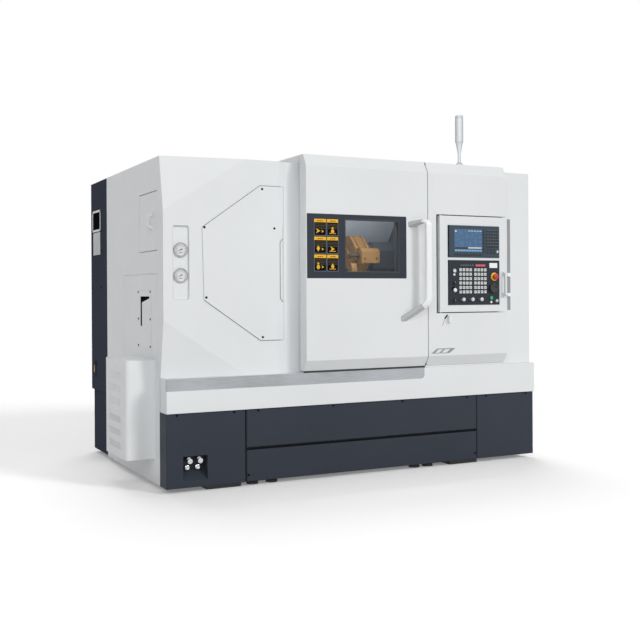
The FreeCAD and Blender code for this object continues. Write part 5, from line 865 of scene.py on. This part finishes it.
# Yellow ring plate under the stop button, bezels of the round buttons, scale of the dial.
stop_ring = turned("stop_ring", [(9.0, 0.0), (27.0, 0.0), (27.0, 1.5), (25.0, 2.2), (21.2, 2.2),
                                 (20.8, 0.3), (9.0, 0.3), (9.0, 0.0)], 40)
bezel = turned("button_bezel", [(5.2, 0.0), (15.5, 0.0), (15.5, 2.0), (14.5, 3.0), (12.8, 3.0),
                                (12.5, 0.3), (5.2, 0.3), (5.2, 0.0)], 32)
copies("stop_ring_plate", stop_ring, middles("estop_button"), "panel",
       ("white_plastic", "ring_yellow"))
copies("button_bezels", bezel, middles("start_button", "power_button"), "panel",
       ("chrome", "black_plastic"))
dial_x, dial_z, dial_radius = control_of("pulse_dial")[:3]
dial_marks = []
for step in range(40):
    far = dial_radius + (3.8 if step % 5 else 5.5)
    dial_marks.append(spoke_mark(dial_x, dial_z, math.tau * step / 40, dial_radius + 1.5, far,
                                 0.35))
front_plates("dial_scale", dial_marks, board_y, 0.2, "panel", FAINT)


# ---------------------------------------------------------------- door window

frame_low, frame_high = measures("window_frame")
shell_low, shell_high = measures("door_shell")
glass_low, glass_high = measures("window_glass")
glass_play = Vector((0.3, 0.0, 0.3))
well_low = glass_low - glass_play
well_high = glass_high + glass_play
plate_wide = 78.0
plate_tall = 101.0
plate_across = 87.0
plate_up = 108.0
plate_edges = []
plate_fields = []
plate_dashes = []
plate_bands = []
plate_lines = []
plate_marks = []


def arrow(x, z, reach):
    """Plain arrowhead that points to the right."""
    return [(x - reach, z - reach), (x + reach, z), (x - reach, z + reach), (x - reach * 0.4, z)]


def add_plate(column, row):
    """One of the six yellow and black plates: a band with dashes, lines and plain shapes."""
    left = well_low.x - 192.0 + plate_across * column
    low = well_low.z + 23.0 + plate_up * row
    right = left + plate_wide + (0.0 if column else 5.0)
    top = low + plate_tall
    band = top - plate_tall * 0.2
    plate_edges.append(oblong(left + 0.5, low + 0.5, right - 0.5, top - 0.5))
    plate_fields.append(oblong(left + 2.5, low + 2.5, right - 2.5, band))
    plate_bands.append(oblong(left + 1.0, band, right - 1.0, top))
    for step in range(3):
        dash = left + plate_wide * (0.3 + 0.17 * step)
        plate_dashes.append(oblong(dash, band + 6.0, dash + 9.0, band + 11.0))
    for step in range(4):
        line = band - 12.0 - 9.0 * step
        plate_lines.append(oblong(left + 7.0, line, right - 7.0, line + 3.0))
    middle = left + plate_wide * (0.5 if column else 0.36)
    foot = low + plate_tall * 0.26
    if (row + column) % 3 == 0:
        plate_marks.append(many_sided(middle, foot, 15.0, 6, 0.8))
        plate_marks.append(many_sided(middle, foot + 21.0, 6.5, 12))
    elif (row + column) % 3 == 1:
        plate_marks.append(many_sided(middle, foot + 4.0, 19.0, 4, 0.62))
    else:
        plate_marks.append(arrow(middle, foot + 2.0, 15.0))
    if column:
        plate_marks.append(oblong(middle - 22.0, foot - 14.0, middle + 22.0, foot - 10.0))
    else:
        plate_marks.append(arrow(left + plate_wide * 0.75, foot, 9.0))


for column in range(2):
    for row in range(3):
        add_plate(column, row)
for name, outlines, before, thick, look in (
        ("plate_edges", plate_edges, 0.0, 0.2, FAINT),
        ("plate_fields", plate_fields, 0.2, 0.2, MATT),
        ("plate_dashes", plate_dashes, 0.5, 0.1, MATT),
        ("plate_bands", plate_bands, 0.2, 0.3, YELLOW),
        ("plate_lines", plate_lines, 0.4, 0.1, ("slate_plastic", "plate_brown")),
        ("plate_marks", plate_marks, 0.4, 0.2, YELLOW)):
    front_plates(name, outlines, frame_low.y - before, thick, "door", look)


def seal(name, outer, width, front, back, body):
    """Rubber seal round an opening, with mitred corners."""
    left, low, right, high = outer
    inner = (left + width, low + width, right - width, high - width)
    shape = bmesh.new()
    loops = []
    for y, sides in ((front, outer), (front, inner), (back, inner), (back, outer)):
        loops.append([shape.verts.new(spot(x, y, z)) for x, z in oblong(*sides)])
    join_loops(shape, [*loops, loops[0]])
    piece = add_piece(name, close_mesh(name, shape), body, BLACK)
    bevel = piece.modifiers.new("round", "BEVEL")
    bevel.width = 0.0015
    bevel.segments = 2


inset = 15.0
seal("glass_seal", (well_low.x + inset, well_low.z + inset, well_high.x - inset,
                    well_high.z - inset), 9.0, frame_low.y - 2.0, frame_low.y + 5.0, "door")

# Dark lining of the window's well, on the door behind the glass.
lining = 1.0
lining_front = frame_low.y + 16.0
lining_back = shell_high.y - 1.0
blocks("well_lining", [((well_high.x - lining, lining_front, well_low.z + lining),
                        (well_high.x, lining_back, well_high.z - lining)),
                       ((well_low.x, lining_front, well_high.z - lining),
                        (well_high.x - lining, lining_back, well_high.z)),
                       ((well_low.x, lining_front, well_low.z),
                        (well_high.x - lining, lining_back, well_low.z + lining))], 0.2, "door",
       LINING)


# ---------------------------------------------------------------- door handle

grip_wide = 43.0
grip_thick = 24.0
grip_x = shell_high.x - 44.0
grip_y = shell_low.y - 78.0
grip_low = well_low.z - 175.0
grip_high = well_high.z - 10.0
grip_bend = 42.0
foot_swell = 1.45       # the ends spread where they meet the door
leg_start = grip_y + 11.0


def rounded_route(points, radius, steps=8):
    """Points of a bent bar: straight runs, with each corner turned on a curve."""
    route = [points[0]]
    for before, bend, after in zip(points, points[1:], points[2:]):
        first = bend + (before - bend).normalized() * radius
        last = bend + (after - bend).normalized() * radius
        for step in range(steps + 1):
            share = step / steps
            route.append(first.lerp(bend, share).lerp(bend.lerp(last, share), share))
    route.append(points[-1])
    return route


def bar_section(wide, thick):
    """Flat section with rounded corners, as (across, out)."""
    rounding = thick * 0.3
    section = []
    for quarter, (side, up) in enumerate(((1, 1), (-1, 1), (-1, -1), (1, -1))):
        for step in range(4):
            angle = math.radians(90 * quarter + 30 * step)
            section.append((side * (wide / 2 - rounding) + rounding * math.cos(angle),
                            up * (thick / 2 - rounding) + rounding * math.sin(angle)))
    return section


def bent_bar(name, route, section, body, look):
    """Bar along a route, with its flat side across and its ends cut upright on the door."""
    last = len(route) - 1
    outlines = []
    for number, point in enumerate(route):
        ahead = (route[min(number + 1, last)] - route[max(number - 1, 0)]).normalized()
        flat = (RIGHT - ahead * RIGHT.dot(ahead)).normalized()
        out = ahead.cross(flat)
        swell = 1.0
        if number in (0, last):
            out = UP * math.copysign(1.0, out.z)
            flat = RIGHT
            swell = foot_swell
        outlines.append([spot(*(point + flat * a + out * b * swell)) for a, b in section])
    shape = bmesh.new()
    closed_run(shape, outlines)
    return add_piece(name, close_mesh(name, shape, smooth=True), body, look)


grip_route = [Vector((grip_x - 137.0, shell_low.y, grip_low - 98.0)),
              Vector((grip_x, grip_y, grip_low)), Vector((grip_x, grip_y, grip_high)),
              Vector((grip_x - 80.0, shell_low.y, grip_high - 25.0))]
handle_bar = bent_bar("handle_bar", rounded_route(grip_route, grip_bend),
                      bar_section(grip_wide, grip_thick), "door", BRIGHT_PAINT)
# Painted light and shade: the front bar takes the brighter white and the legs a grey, lit and
# shaded copies of the handle's one white paint.
handle_bar.data.materials.append(finishes["leg_grey"])
for face in handle_bar.data.polygons:
    if own(face.center).y > leg_start:
        face.material_index = 1
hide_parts("door_handle")


# ---------------------------------------------------------------- door edges and control box

sill_low, sill_high = measures("sill")
box_low, box_high = measures("control_box")
# Strips under the door and the box: the door's is black, a wiper and painted shade of the gap
# below the door; the box's is white and closes the gap below the box.
for name, low, high, margin, up, bevel, body, look in (
        ("door_wiper", shell_low, shell_high, 2.0, 0.6, 0.8, "door", BLACK),
        ("box_skirt", box_low, box_high, 1.0, 0.3, 0.5, "machine", PAINT)):
    blocks(name, [((low.x + margin, sill_low.y + 0.5, sill_high.z + up),
                   (high.x - margin, sill_low.y + 4.5, sill_high.z + 13.5))], bevel, body, look)
# Matt black block in the gap between the door and the box: painted shade.
blocks("door_gap_seal", [((shell_high.x + 1.5, shell_low.y + 30.0, box_low.z + 4.0),
                          (box_low.x - 0.1, shell_low.y + 44.0, box_high.z - 7.0))], 0.2,
       "machine", MATT)

# Latch below the panel: a tab in the brighter white, a lit copy of the box's white paint, and two
# flat plates on the box below it, a dark patch and a grey streak of painted shadow.
latch_x = display_low.x - 2.0
latch_z = panel_low.z
shadow_patch = [(-33.0, -44.4), (-24.0, -42.4), (-7.0, -24.0), (-7.0, -13.7), (-17.0, -18.0),
         (-33.0, -36.0)]
shadow_streak = [(-50.0, -85.4), (-46.0, -85.4), (-29.0, -45.0), (-33.0, -45.0)]
blocks("panel_latch", [((latch_x - 6.0, shell_low.y - 24.0, latch_z - 65.0),
                        (latch_x + 6.0, shell_low.y - 6.8, latch_z - 22.0))], 2.0, "machine",
       BRIGHT_PAINT)
for name, outline, look in (("latch_lever", shadow_patch, LINING), ("latch_rod", shadow_streak, PAINTED_SHADE_GREY)):
    front_plates(name, [[(latch_x + x, latch_z + z) for x, z in outline]], shell_low.y, 0.8,
                 "machine", look)


def leaning(foot_left, foot_right, head_left, head_right, low, high):
    """Outline with level edges and leaning ends, from the left lower corner of the port."""
    left = box_low.x + 12.0
    floor = box_low.z + 77.0
    return [(left + foot_left, floor + low), (left + foot_right, floor + low),
            (left + head_right, floor + high), (left + head_left, floor + high)]


# Port in the foot of the box: a shaded ground with two pale windows.
front_plates("port_shade", [leaning(6.0, 148.0, 50.0, 192.0, 2.0, 33.0)], shell_low.y - 1.6, 0.4,
             "machine", SHADOW)
front_plates("port_windows", [leaning(34.0, 66.0, 62.0, 96.0, 5.0, 27.0),
                              leaning(84.0, 122.0, 112.0, 152.0, 5.0, 27.0)], shell_low.y - 2.0,
             0.6, "machine", PAINT)

# Grey plate of painted shade where a slot runs beside the panel, with the slot's two catches.
wall_y = measures("right_enclosure")[0].y
slot_shade_y = wall_y - 0.6
slot_x = panel_high.x + 75.0
blocks("side_slot", [((slot_x, slot_shade_y, panel_low.z + 6.0),
                      (slot_x + 26.0, wall_y, panel_high.z))], 0.2, "machine", PAINTED_SHADE_GREY)
catches = []
for low, high in ((234.0, 259.0), (99.0, 122.0)):
    catches.append(((slot_x - 5.0, wall_y - 14.0, panel_low.z + low),
                    (slot_x + 17.0, slot_shade_y, panel_low.z + high)))
blocks("slot_catches", catches, 2.0, "machine", BRIGHT_PAINT)


# ---------------------------------------------------------------- gauges

gauge_low, gauge_high = measures("pressure_gauges")
gauge_depth = gauge_high.y - gauge_low.y
gauge_shape = bmesh.new()
disc_shape = bmesh.new()
gauge_marks = []
gauge_bars = []


def add_gauge(x, z, radius):
    """Turned case with a sunk face, its scale, its needle and a short bar."""
    turn_in(gauge_shape, spot(x, gauge_high.y, z),
            [(0.0, 0.0), (radius * 0.94, 0.0), (radius * 0.94, gauge_depth * 0.4),
             (radius, gauge_depth * 0.5), (radius, gauge_depth - 2.5),
             (radius - 2.0, gauge_depth), (radius - 5.0, gauge_depth),
             (radius - 7.0, gauge_depth - 3.5), (0.0, gauge_depth - 3.5)], sides=48)
    turn_in(disc_shape, spot(x, gauge_low.y + 3.2, z),
            [(0.0, 0.0), (radius - 8.0, 0.0), (radius - 8.0, 0.3), (0.0, 0.3)])
    for step in range(28):
        near = radius - (15.0 if step % 3 else 18.0)
        half = 0.5 if step % 3 else 1.0
        gauge_marks.append(spoke_mark(x, z, math.radians(225.0 - 10.0 * step), near,
                                      radius - 10.5, half))
    needle = math.radians(205.0)
    tail = spoke_mark(x, z, needle, -10.0, 24.0, 3.2)
    tip = (x + 24.0 * math.cos(needle), z + 24.0 * math.sin(needle))
    gauge_marks.append([tail[0], tip, tail[3]])
    gauge_bars.append(oblong(x - 9.0, z - 19.0, x + 9.0, z - 14.0))


for middle, size in solids_of("pressure_gauges"):
    add_gauge(own(middle).x, own(middle).z, size.x / MM / 2)
gauge_cases = add_piece("gauge_cases", close_mesh("gauge_cases", gauge_shape, smooth=True),
                        "machine", ("chrome", "gauge_chrome"))
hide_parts("pressure_gauges")
add_piece("gauge_faces", close_mesh("gauge_faces", disc_shape), "machine", WHITE)
front_plates("gauge_marks", gauge_marks, gauge_low.y + 2.9, 0.3, "machine", BLACK)
front_plates("gauge_bars", gauge_bars, gauge_low.y + 2.9, 0.25, "machine", SIGN)


# ---------------------------------------------------------------- signal lamp

tube_low, tube_high = measures("lamp_tube")
base_low, base_high = measures("lamp_base")
tube_x = (tube_low.x + tube_high.x) / 2
tube_y = (tube_low.y + tube_high.y) / 2
tube_radius = (tube_high.y - tube_low.y) / 2
tube_tall = tube_high.z - tube_low.z
lamp_glass = turned_piece("lamp_glass", [(tube_x, tube_y, tube_low.z)], [
    (0.0, 0.0), (tube_radius, 0.0), (tube_radius, tube_tall - 22.0),
    (tube_radius - 2.0, tube_tall - 20.0), (tube_radius - 2.0, tube_tall - 17.0),
    (tube_radius, tube_tall - 15.0), (tube_radius - 1.0, tube_tall - 6.0),
    (tube_radius - 5.0, tube_tall - 1.5), (tube_radius - 10.0, tube_tall), (0.0, tube_tall)],
    "machine", CLEAR, UP)
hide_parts("lamp_tube")
base_tall = tube_low.z - base_low.z
flange_radius = (base_high.y - base_low.y) / 2
lamp_foot = turned_piece("lamp_foot", [(tube_x, tube_y, base_low.z)], [
    (0.0, 0.0), (flange_radius, 0.0), (flange_radius, 4.0), (flange_radius - 3.0, 12.0),
    (flange_radius - 8.0, 17.0), (flange_radius - 11.0, 22.0), (11.0, 25.0),
    (10.0, base_tall * 0.45), (13.0, base_tall * 0.6), (tube_radius - 4.0, base_tall - 8.0),
    (tube_radius, base_tall - 3.0), (tube_radius, base_tall), (0.0, base_tall)],
    "machine", CLEAR, UP)
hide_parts("lamp_base")
rib_count = 11
rib_pitch = (tube_tall - 34.0) / rib_count
grow("lamp_ribs", "rings", {
    "Radius": (tube_radius - 1.2) * MM, "Section": 1.4 * MM, "Count": rib_count,
    "Start": spot(tube_x, tube_y, tube_low.z + 6.0), "Pitch": (0.0, 0.0, rib_pitch * MM)},
    "machine", CLEAR)


# ---------------------------------------------------------------- left end

window_low, window_high = measures("cabinet_window")
rim = 14.0
rim_sides = []
for low_y, high_y, low_z, high_z in (
        (window_low.y, window_high.y, window_low.z, window_low.z + rim),
        (window_low.y, window_high.y, window_high.z - rim, window_high.z),
        (window_low.y, window_low.y + rim, window_low.z, window_high.z),
        (window_high.y - rim, window_high.y, window_low.z, window_high.z)):
    rim_sides.append(((-2.0, low_y, low_z), (1.0, high_y, high_z)))
blocks("cabinet_window_rim", rim_sides, 1.0, "machine", WHITE)
blocks("cabinet_pane", [((4.0, window_low.y + 12.0, window_low.z + 12.0),
                         (6.9, window_high.y - 12.0, window_high.z - 12.0))], 0.5, "machine",
       MATT)
blocks("cabinet_plate", [((-1.2, window_low.y + 8.0, window_low.z - 165.0),
                          (0.0, window_high.y - 24.0, window_low.z - 6.0))], 0.5, "machine",
       ("brushed", "brushed_rail"))
lock_y = measures("rear_cabinet")[1].y - 135.0
lock_z = 535.0
blocks("lock_insert", [((14.0, lock_y, lock_z), (19.5, lock_y + 32.0, lock_z + 80.0))], 3.0,
       "machine", MATT)
blocks("lock_mark", [((-0.8, lock_y + 56.0, lock_z + 15.0), (0.0, lock_y + 68.0, lock_z + 65.0))],
       0.3, "machine", YELLOW)

# Matt black plate of painted shade in the slit of the side plate.
plate_low, plate_high = measures("side_plate")
slit_front = plate_low.y + 28.0
slit_back = plate_high.y - 52.0
slit_low = plate_low.z + 127.0
slit_high = plate_high.z - 36.0
slit_leg = 34.0
side_plates("side_slit", [[(slit_front, slit_high), (slit_back, slit_high), (slit_back, slit_low),
                           (slit_back - slit_leg, slit_low),
                           (slit_back - slit_leg, slit_high - 36.0),
                           (slit_front, slit_high - 12.0)]], 0.0, 0.6, MATT)

# Grey plates of painted shade in the leaning slots of the three lower banks of the pump box.
pump_low, pump_high = measures("pump_cover")
slot_wide = 16.0
slot_tall = 37.0
slot_lean = 5.7
slot_pitch = 28.0
bank_pitch = 77.0
pump_slots = []
for bank in range(3):
    for step in range(9):
        y = pump_low.y + 108.5 + slot_pitch * step
        z = pump_low.z + 51.5 + bank_pitch * bank
        pump_slots.append([(y, z), (y + slot_wide, z), (y + slot_wide + slot_lean, z + slot_tall),
                           (y + slot_lean, z + slot_tall)])
side_plates("pump_slots", pump_slots, pump_low.x + 5.0, 0.6, PAINTED_SHADE_GREY)


# ---------------------------------------------------------------- seams and fittings

def strips(name, runs, wide, look):
    """Thin strips along runs of points on faces that look forward."""
    shape = bmesh.new()
    for run in runs:
        for first, last in zip(run, run[1:]):
            side = (last - first).cross(FRONT).normalized() * wide / 2
            near = [first - side, last - side, last + side, first + side]
            closed_run(shape, [[spot(*(point + BACK * depth)) for point in near]
                               for depth in (0.0, 0.5)])
    add_piece(name, close_mesh(name, shape), "machine", look)


cover_low, cover_high = measures("service_cover")
cover_y = cover_low.y - 0.3
shoulder_x = cover_low.x + 365.0
fold_x = cover_high.x - 37.0
edge_x = cover_high.x
edge_y = cover_high.y - 2.0
notch_x = cover_high.x - 27.0
notch_y = cover_y + 1.5
notch_high = cover_high.z - 308.0
notch_low = cover_low.z + 224.0
notch_lean = 25.0
upper_left = Vector((cover_low.x, cover_y, cover_high.z - 257.0))
lower_left = Vector((cover_low.x + 10.0, cover_y, cover_low.z + 244.0))
cover_seams = []
for start, level in ((upper_left, cover_high.z), (lower_left, cover_low.z)):
    cover_seams.append([start, Vector((shoulder_x, cover_y, level)),
                        Vector((fold_x, cover_y, level)), Vector((edge_x, edge_y, level))])
cover_seams.append([Vector((edge_x, edge_y, cover_high.z)), Vector((edge_x, edge_y, cover_low.z))])
cover_seams.append([Vector((edge_x, edge_y, notch_high)),
                    Vector((notch_x, notch_y, notch_high - notch_lean)),
                    Vector((notch_x, notch_y, notch_low + notch_lean)),
                    Vector((edge_x, edge_y, notch_low))])
strips("cover_seam", cover_seams, 2.6, BLACK)
strips("cover_side_seam", [[upper_left, lower_left]], 1.4, SHADOW)

upper_low, upper_high = measures("base_cover_upper")
seam_y = upper_low.y - 0.4
seam_foot = 4.0
# Matt black strips at the seams of the upper base cover, widened with painted shade under its lip
# and at its left end.
blocks("base_seams", [((upper_low.x, seam_y, upper_low.z - 13.0),
                       (upper_high.x, upper_low.y, upper_low.z - 3.0)),
                      ((upper_low.x - 8.0, seam_y, seam_foot),
                       (upper_low.x - 3.0, upper_low.y, upper_high.z - 2.0))], 0.1, "machine",
       MATT)

# Hose couplings in the recess of the base, below the two capped ones.
fitting_low, fitting_high = measures("hose_fittings")
coupling_places = []
for x in (fitting_low.x + 13.5, fitting_high.x - 15.5):
    coupling_places.append((x, fitting_high.y - 2.0, fitting_low.z - 28.0))
turned_piece("hose_couplings", coupling_places, [
    (0.0, 0.0), (10.0, 0.0), (10.0, 10.0), (15.0, 10.5), (15.0, 20.0), (11.0, 22.0),
    (11.0, 26.0), (7.0, 26.0), (6.0, 16.0), (0.0, 16.0)], "machine", ("steel", "bright_steel"),
    sides=24)


# ---------------------------------------------------------------- camera, light and floor

def set_camera():
    """Camera of the reference view: its place, its turn and its lens."""
    turn = math.radians(26.965)
    roll = math.radians(0.3)
    forward = Vector((math.sin(turn), math.cos(turn), 0.0))
    right = Vector((math.cos(turn) * math.cos(roll), -math.sin(turn) * math.cos(roll),
                    -math.sin(roll)))
    up = right.cross(forward)
    data = bpy.data.cameras.new("camera")
    data.sensor_width = 36.0
    data.lens = 53.927
    data.shift_y = -0.0404
    camera = bpy.data.objects.new("camera", data)
    matrix = Matrix((right, up, -forward)).transposed().to_4x4()
    matrix.translation = Vector((-2.8951, -6.0049, 1.1281))
    camera.matrix_world = matrix
    bpy.context.scene.collection.objects.link(camera)
    bpy.context.scene.camera = camera


def add_lamp(name, data, toward, energy, place=(0.0, 0.0, 0.0)):
    """Lamp at a place that shines along a direction."""
    data.energy = energy
    lamp = bpy.data.objects.new(name, data)
    lamp.rotation_mode = "QUATERNION"
    lamp.rotation_quaternion = Vector(toward).to_track_quat("-Z", "Y")
    lamp.location = place
    bpy.context.scene.collection.objects.link(lamp)


def add_sun(name, toward, energy, angle):
    """Broad distant lamp."""
    data = bpy.data.lights.new(name, "SUN")
    data.angle = math.radians(angle)
    add_lamp(name, data, toward, energy)


def add_work_lamp(name, place, toward, wide, tall, power):
    """Lamp strip inside the machining space."""
    data = bpy.data.lights.new(name, "AREA")
    data.shape = "RECTANGLE"
    data.size = wide
    data.size_y = tall
    add_lamp(name, data, toward, power, place)


def see_or_light(tree, seen, other):
    """Mixes two shaders: one for the camera, gloss and glass, the other for light."""
    path = tree.nodes.new("ShaderNodeLightPath")
    mix = tree.nodes.new("ShaderNodeMixShader")
    chosen = path.outputs["Is Camera Ray"]
    for ray in ("Is Glossy Ray", "Is Transmission Ray"):
        either = tree.nodes.new("ShaderNodeMath")
        either.operation = "MAXIMUM"
        wire(tree, (chosen, either.inputs[0]), (path.outputs[ray], either.inputs[1]))
        chosen = either.outputs[0]
    wire(tree, (chosen, mix.inputs[0]), (other, mix.inputs[1]), (seen, mix.inputs[2]))
    return mix.outputs[0]


def set_world(fill):
    """White surroundings that light the machine at a lower level."""
    world = bpy.data.worlds.new("studio")
    world.use_nodes = True
    tree = world.node_tree
    tree.nodes.clear()
    output = tree.nodes.new("ShaderNodeOutputWorld")
    white = tree.nodes.new("ShaderNodeBackground")
    dim = tree.nodes.new("ShaderNodeBackground")
    white.inputs["Color"].default_value = (1.0, 1.0, 1.0, 1.0)
    dim.inputs["Color"].default_value = (0.97, 0.985, 1.0, 1.0)
    dim.inputs["Strength"].default_value = fill
    wire(tree, (see_or_light(tree, white.outputs[0], dim.outputs[0]), output.inputs["Surface"]))
    bpy.context.scene.world = world


def add_floor():
    """Pale floor that keeps the machine's shadow and runs into the white behind it."""
    half = 60.0
    level = cad_box[0].z - 0.0005
    mesh = bpy.data.meshes.new("floor")
    mesh.from_pydata([(x, y, level) for x, y in oblong(-half, -half, half, half)], [],
                     [(0, 1, 2, 3)])
    floor = bpy.data.objects.new("floor", mesh)
    bpy.context.scene.collection.objects.link(floor)
    material = bpy.data.materials.new("floor_paint")
    material.use_nodes = True
    tree = material.node_tree
    tree.nodes.clear()
    output = tree.nodes.new("ShaderNodeOutputMaterial")
    matt = tree.nodes.new("ShaderNodeBsdfDiffuse")
    matt.inputs["Color"].default_value = (0.66, 0.66, 0.66, 1.0)
    seen = tree.nodes.new("ShaderNodeBsdfDiffuse")
    seen.inputs["Color"].default_value = (0.93, 0.92, 0.92, 1.0)
    glow = tree.nodes.new("ShaderNodeEmission")
    glow.inputs["Strength"].default_value = 0.17
    lifted = tree.nodes.new("ShaderNodeAddShader")
    wire(tree, (seen.outputs[0], lifted.inputs[0]), (glow.outputs[0], lifted.inputs[1]))
    wire(tree, (see_or_light(tree, lifted.outputs[0], matt.outputs[0]), output.inputs["Surface"]))
    mesh.materials.append(material)


set_camera()
set_world(0.31)
add_sun("front_lamp", (-0.45, 0.75, -0.5), 1.13, 14.0)
add_sun("left_lamp", (0.44, 0.8, -0.45), 0.86, 40.0)
add_sun("top_lamp", (-0.12, -0.45, -0.9), 1.08, 30.0)
add_work_lamp("work_lamp", spot(1400.0, 150.0, 1840.0), (0.0, 0.45, -1.0), 0.8, 0.08, 9.0)
add_work_lamp("side_work_lamp", spot(1300.0, 60.0, 900.0), (0.0, 0.8, 0.6), 0.4, 0.06, 3.0)
add_floor()
bpy.context.scene.view_settings.view_transform = "Standard"
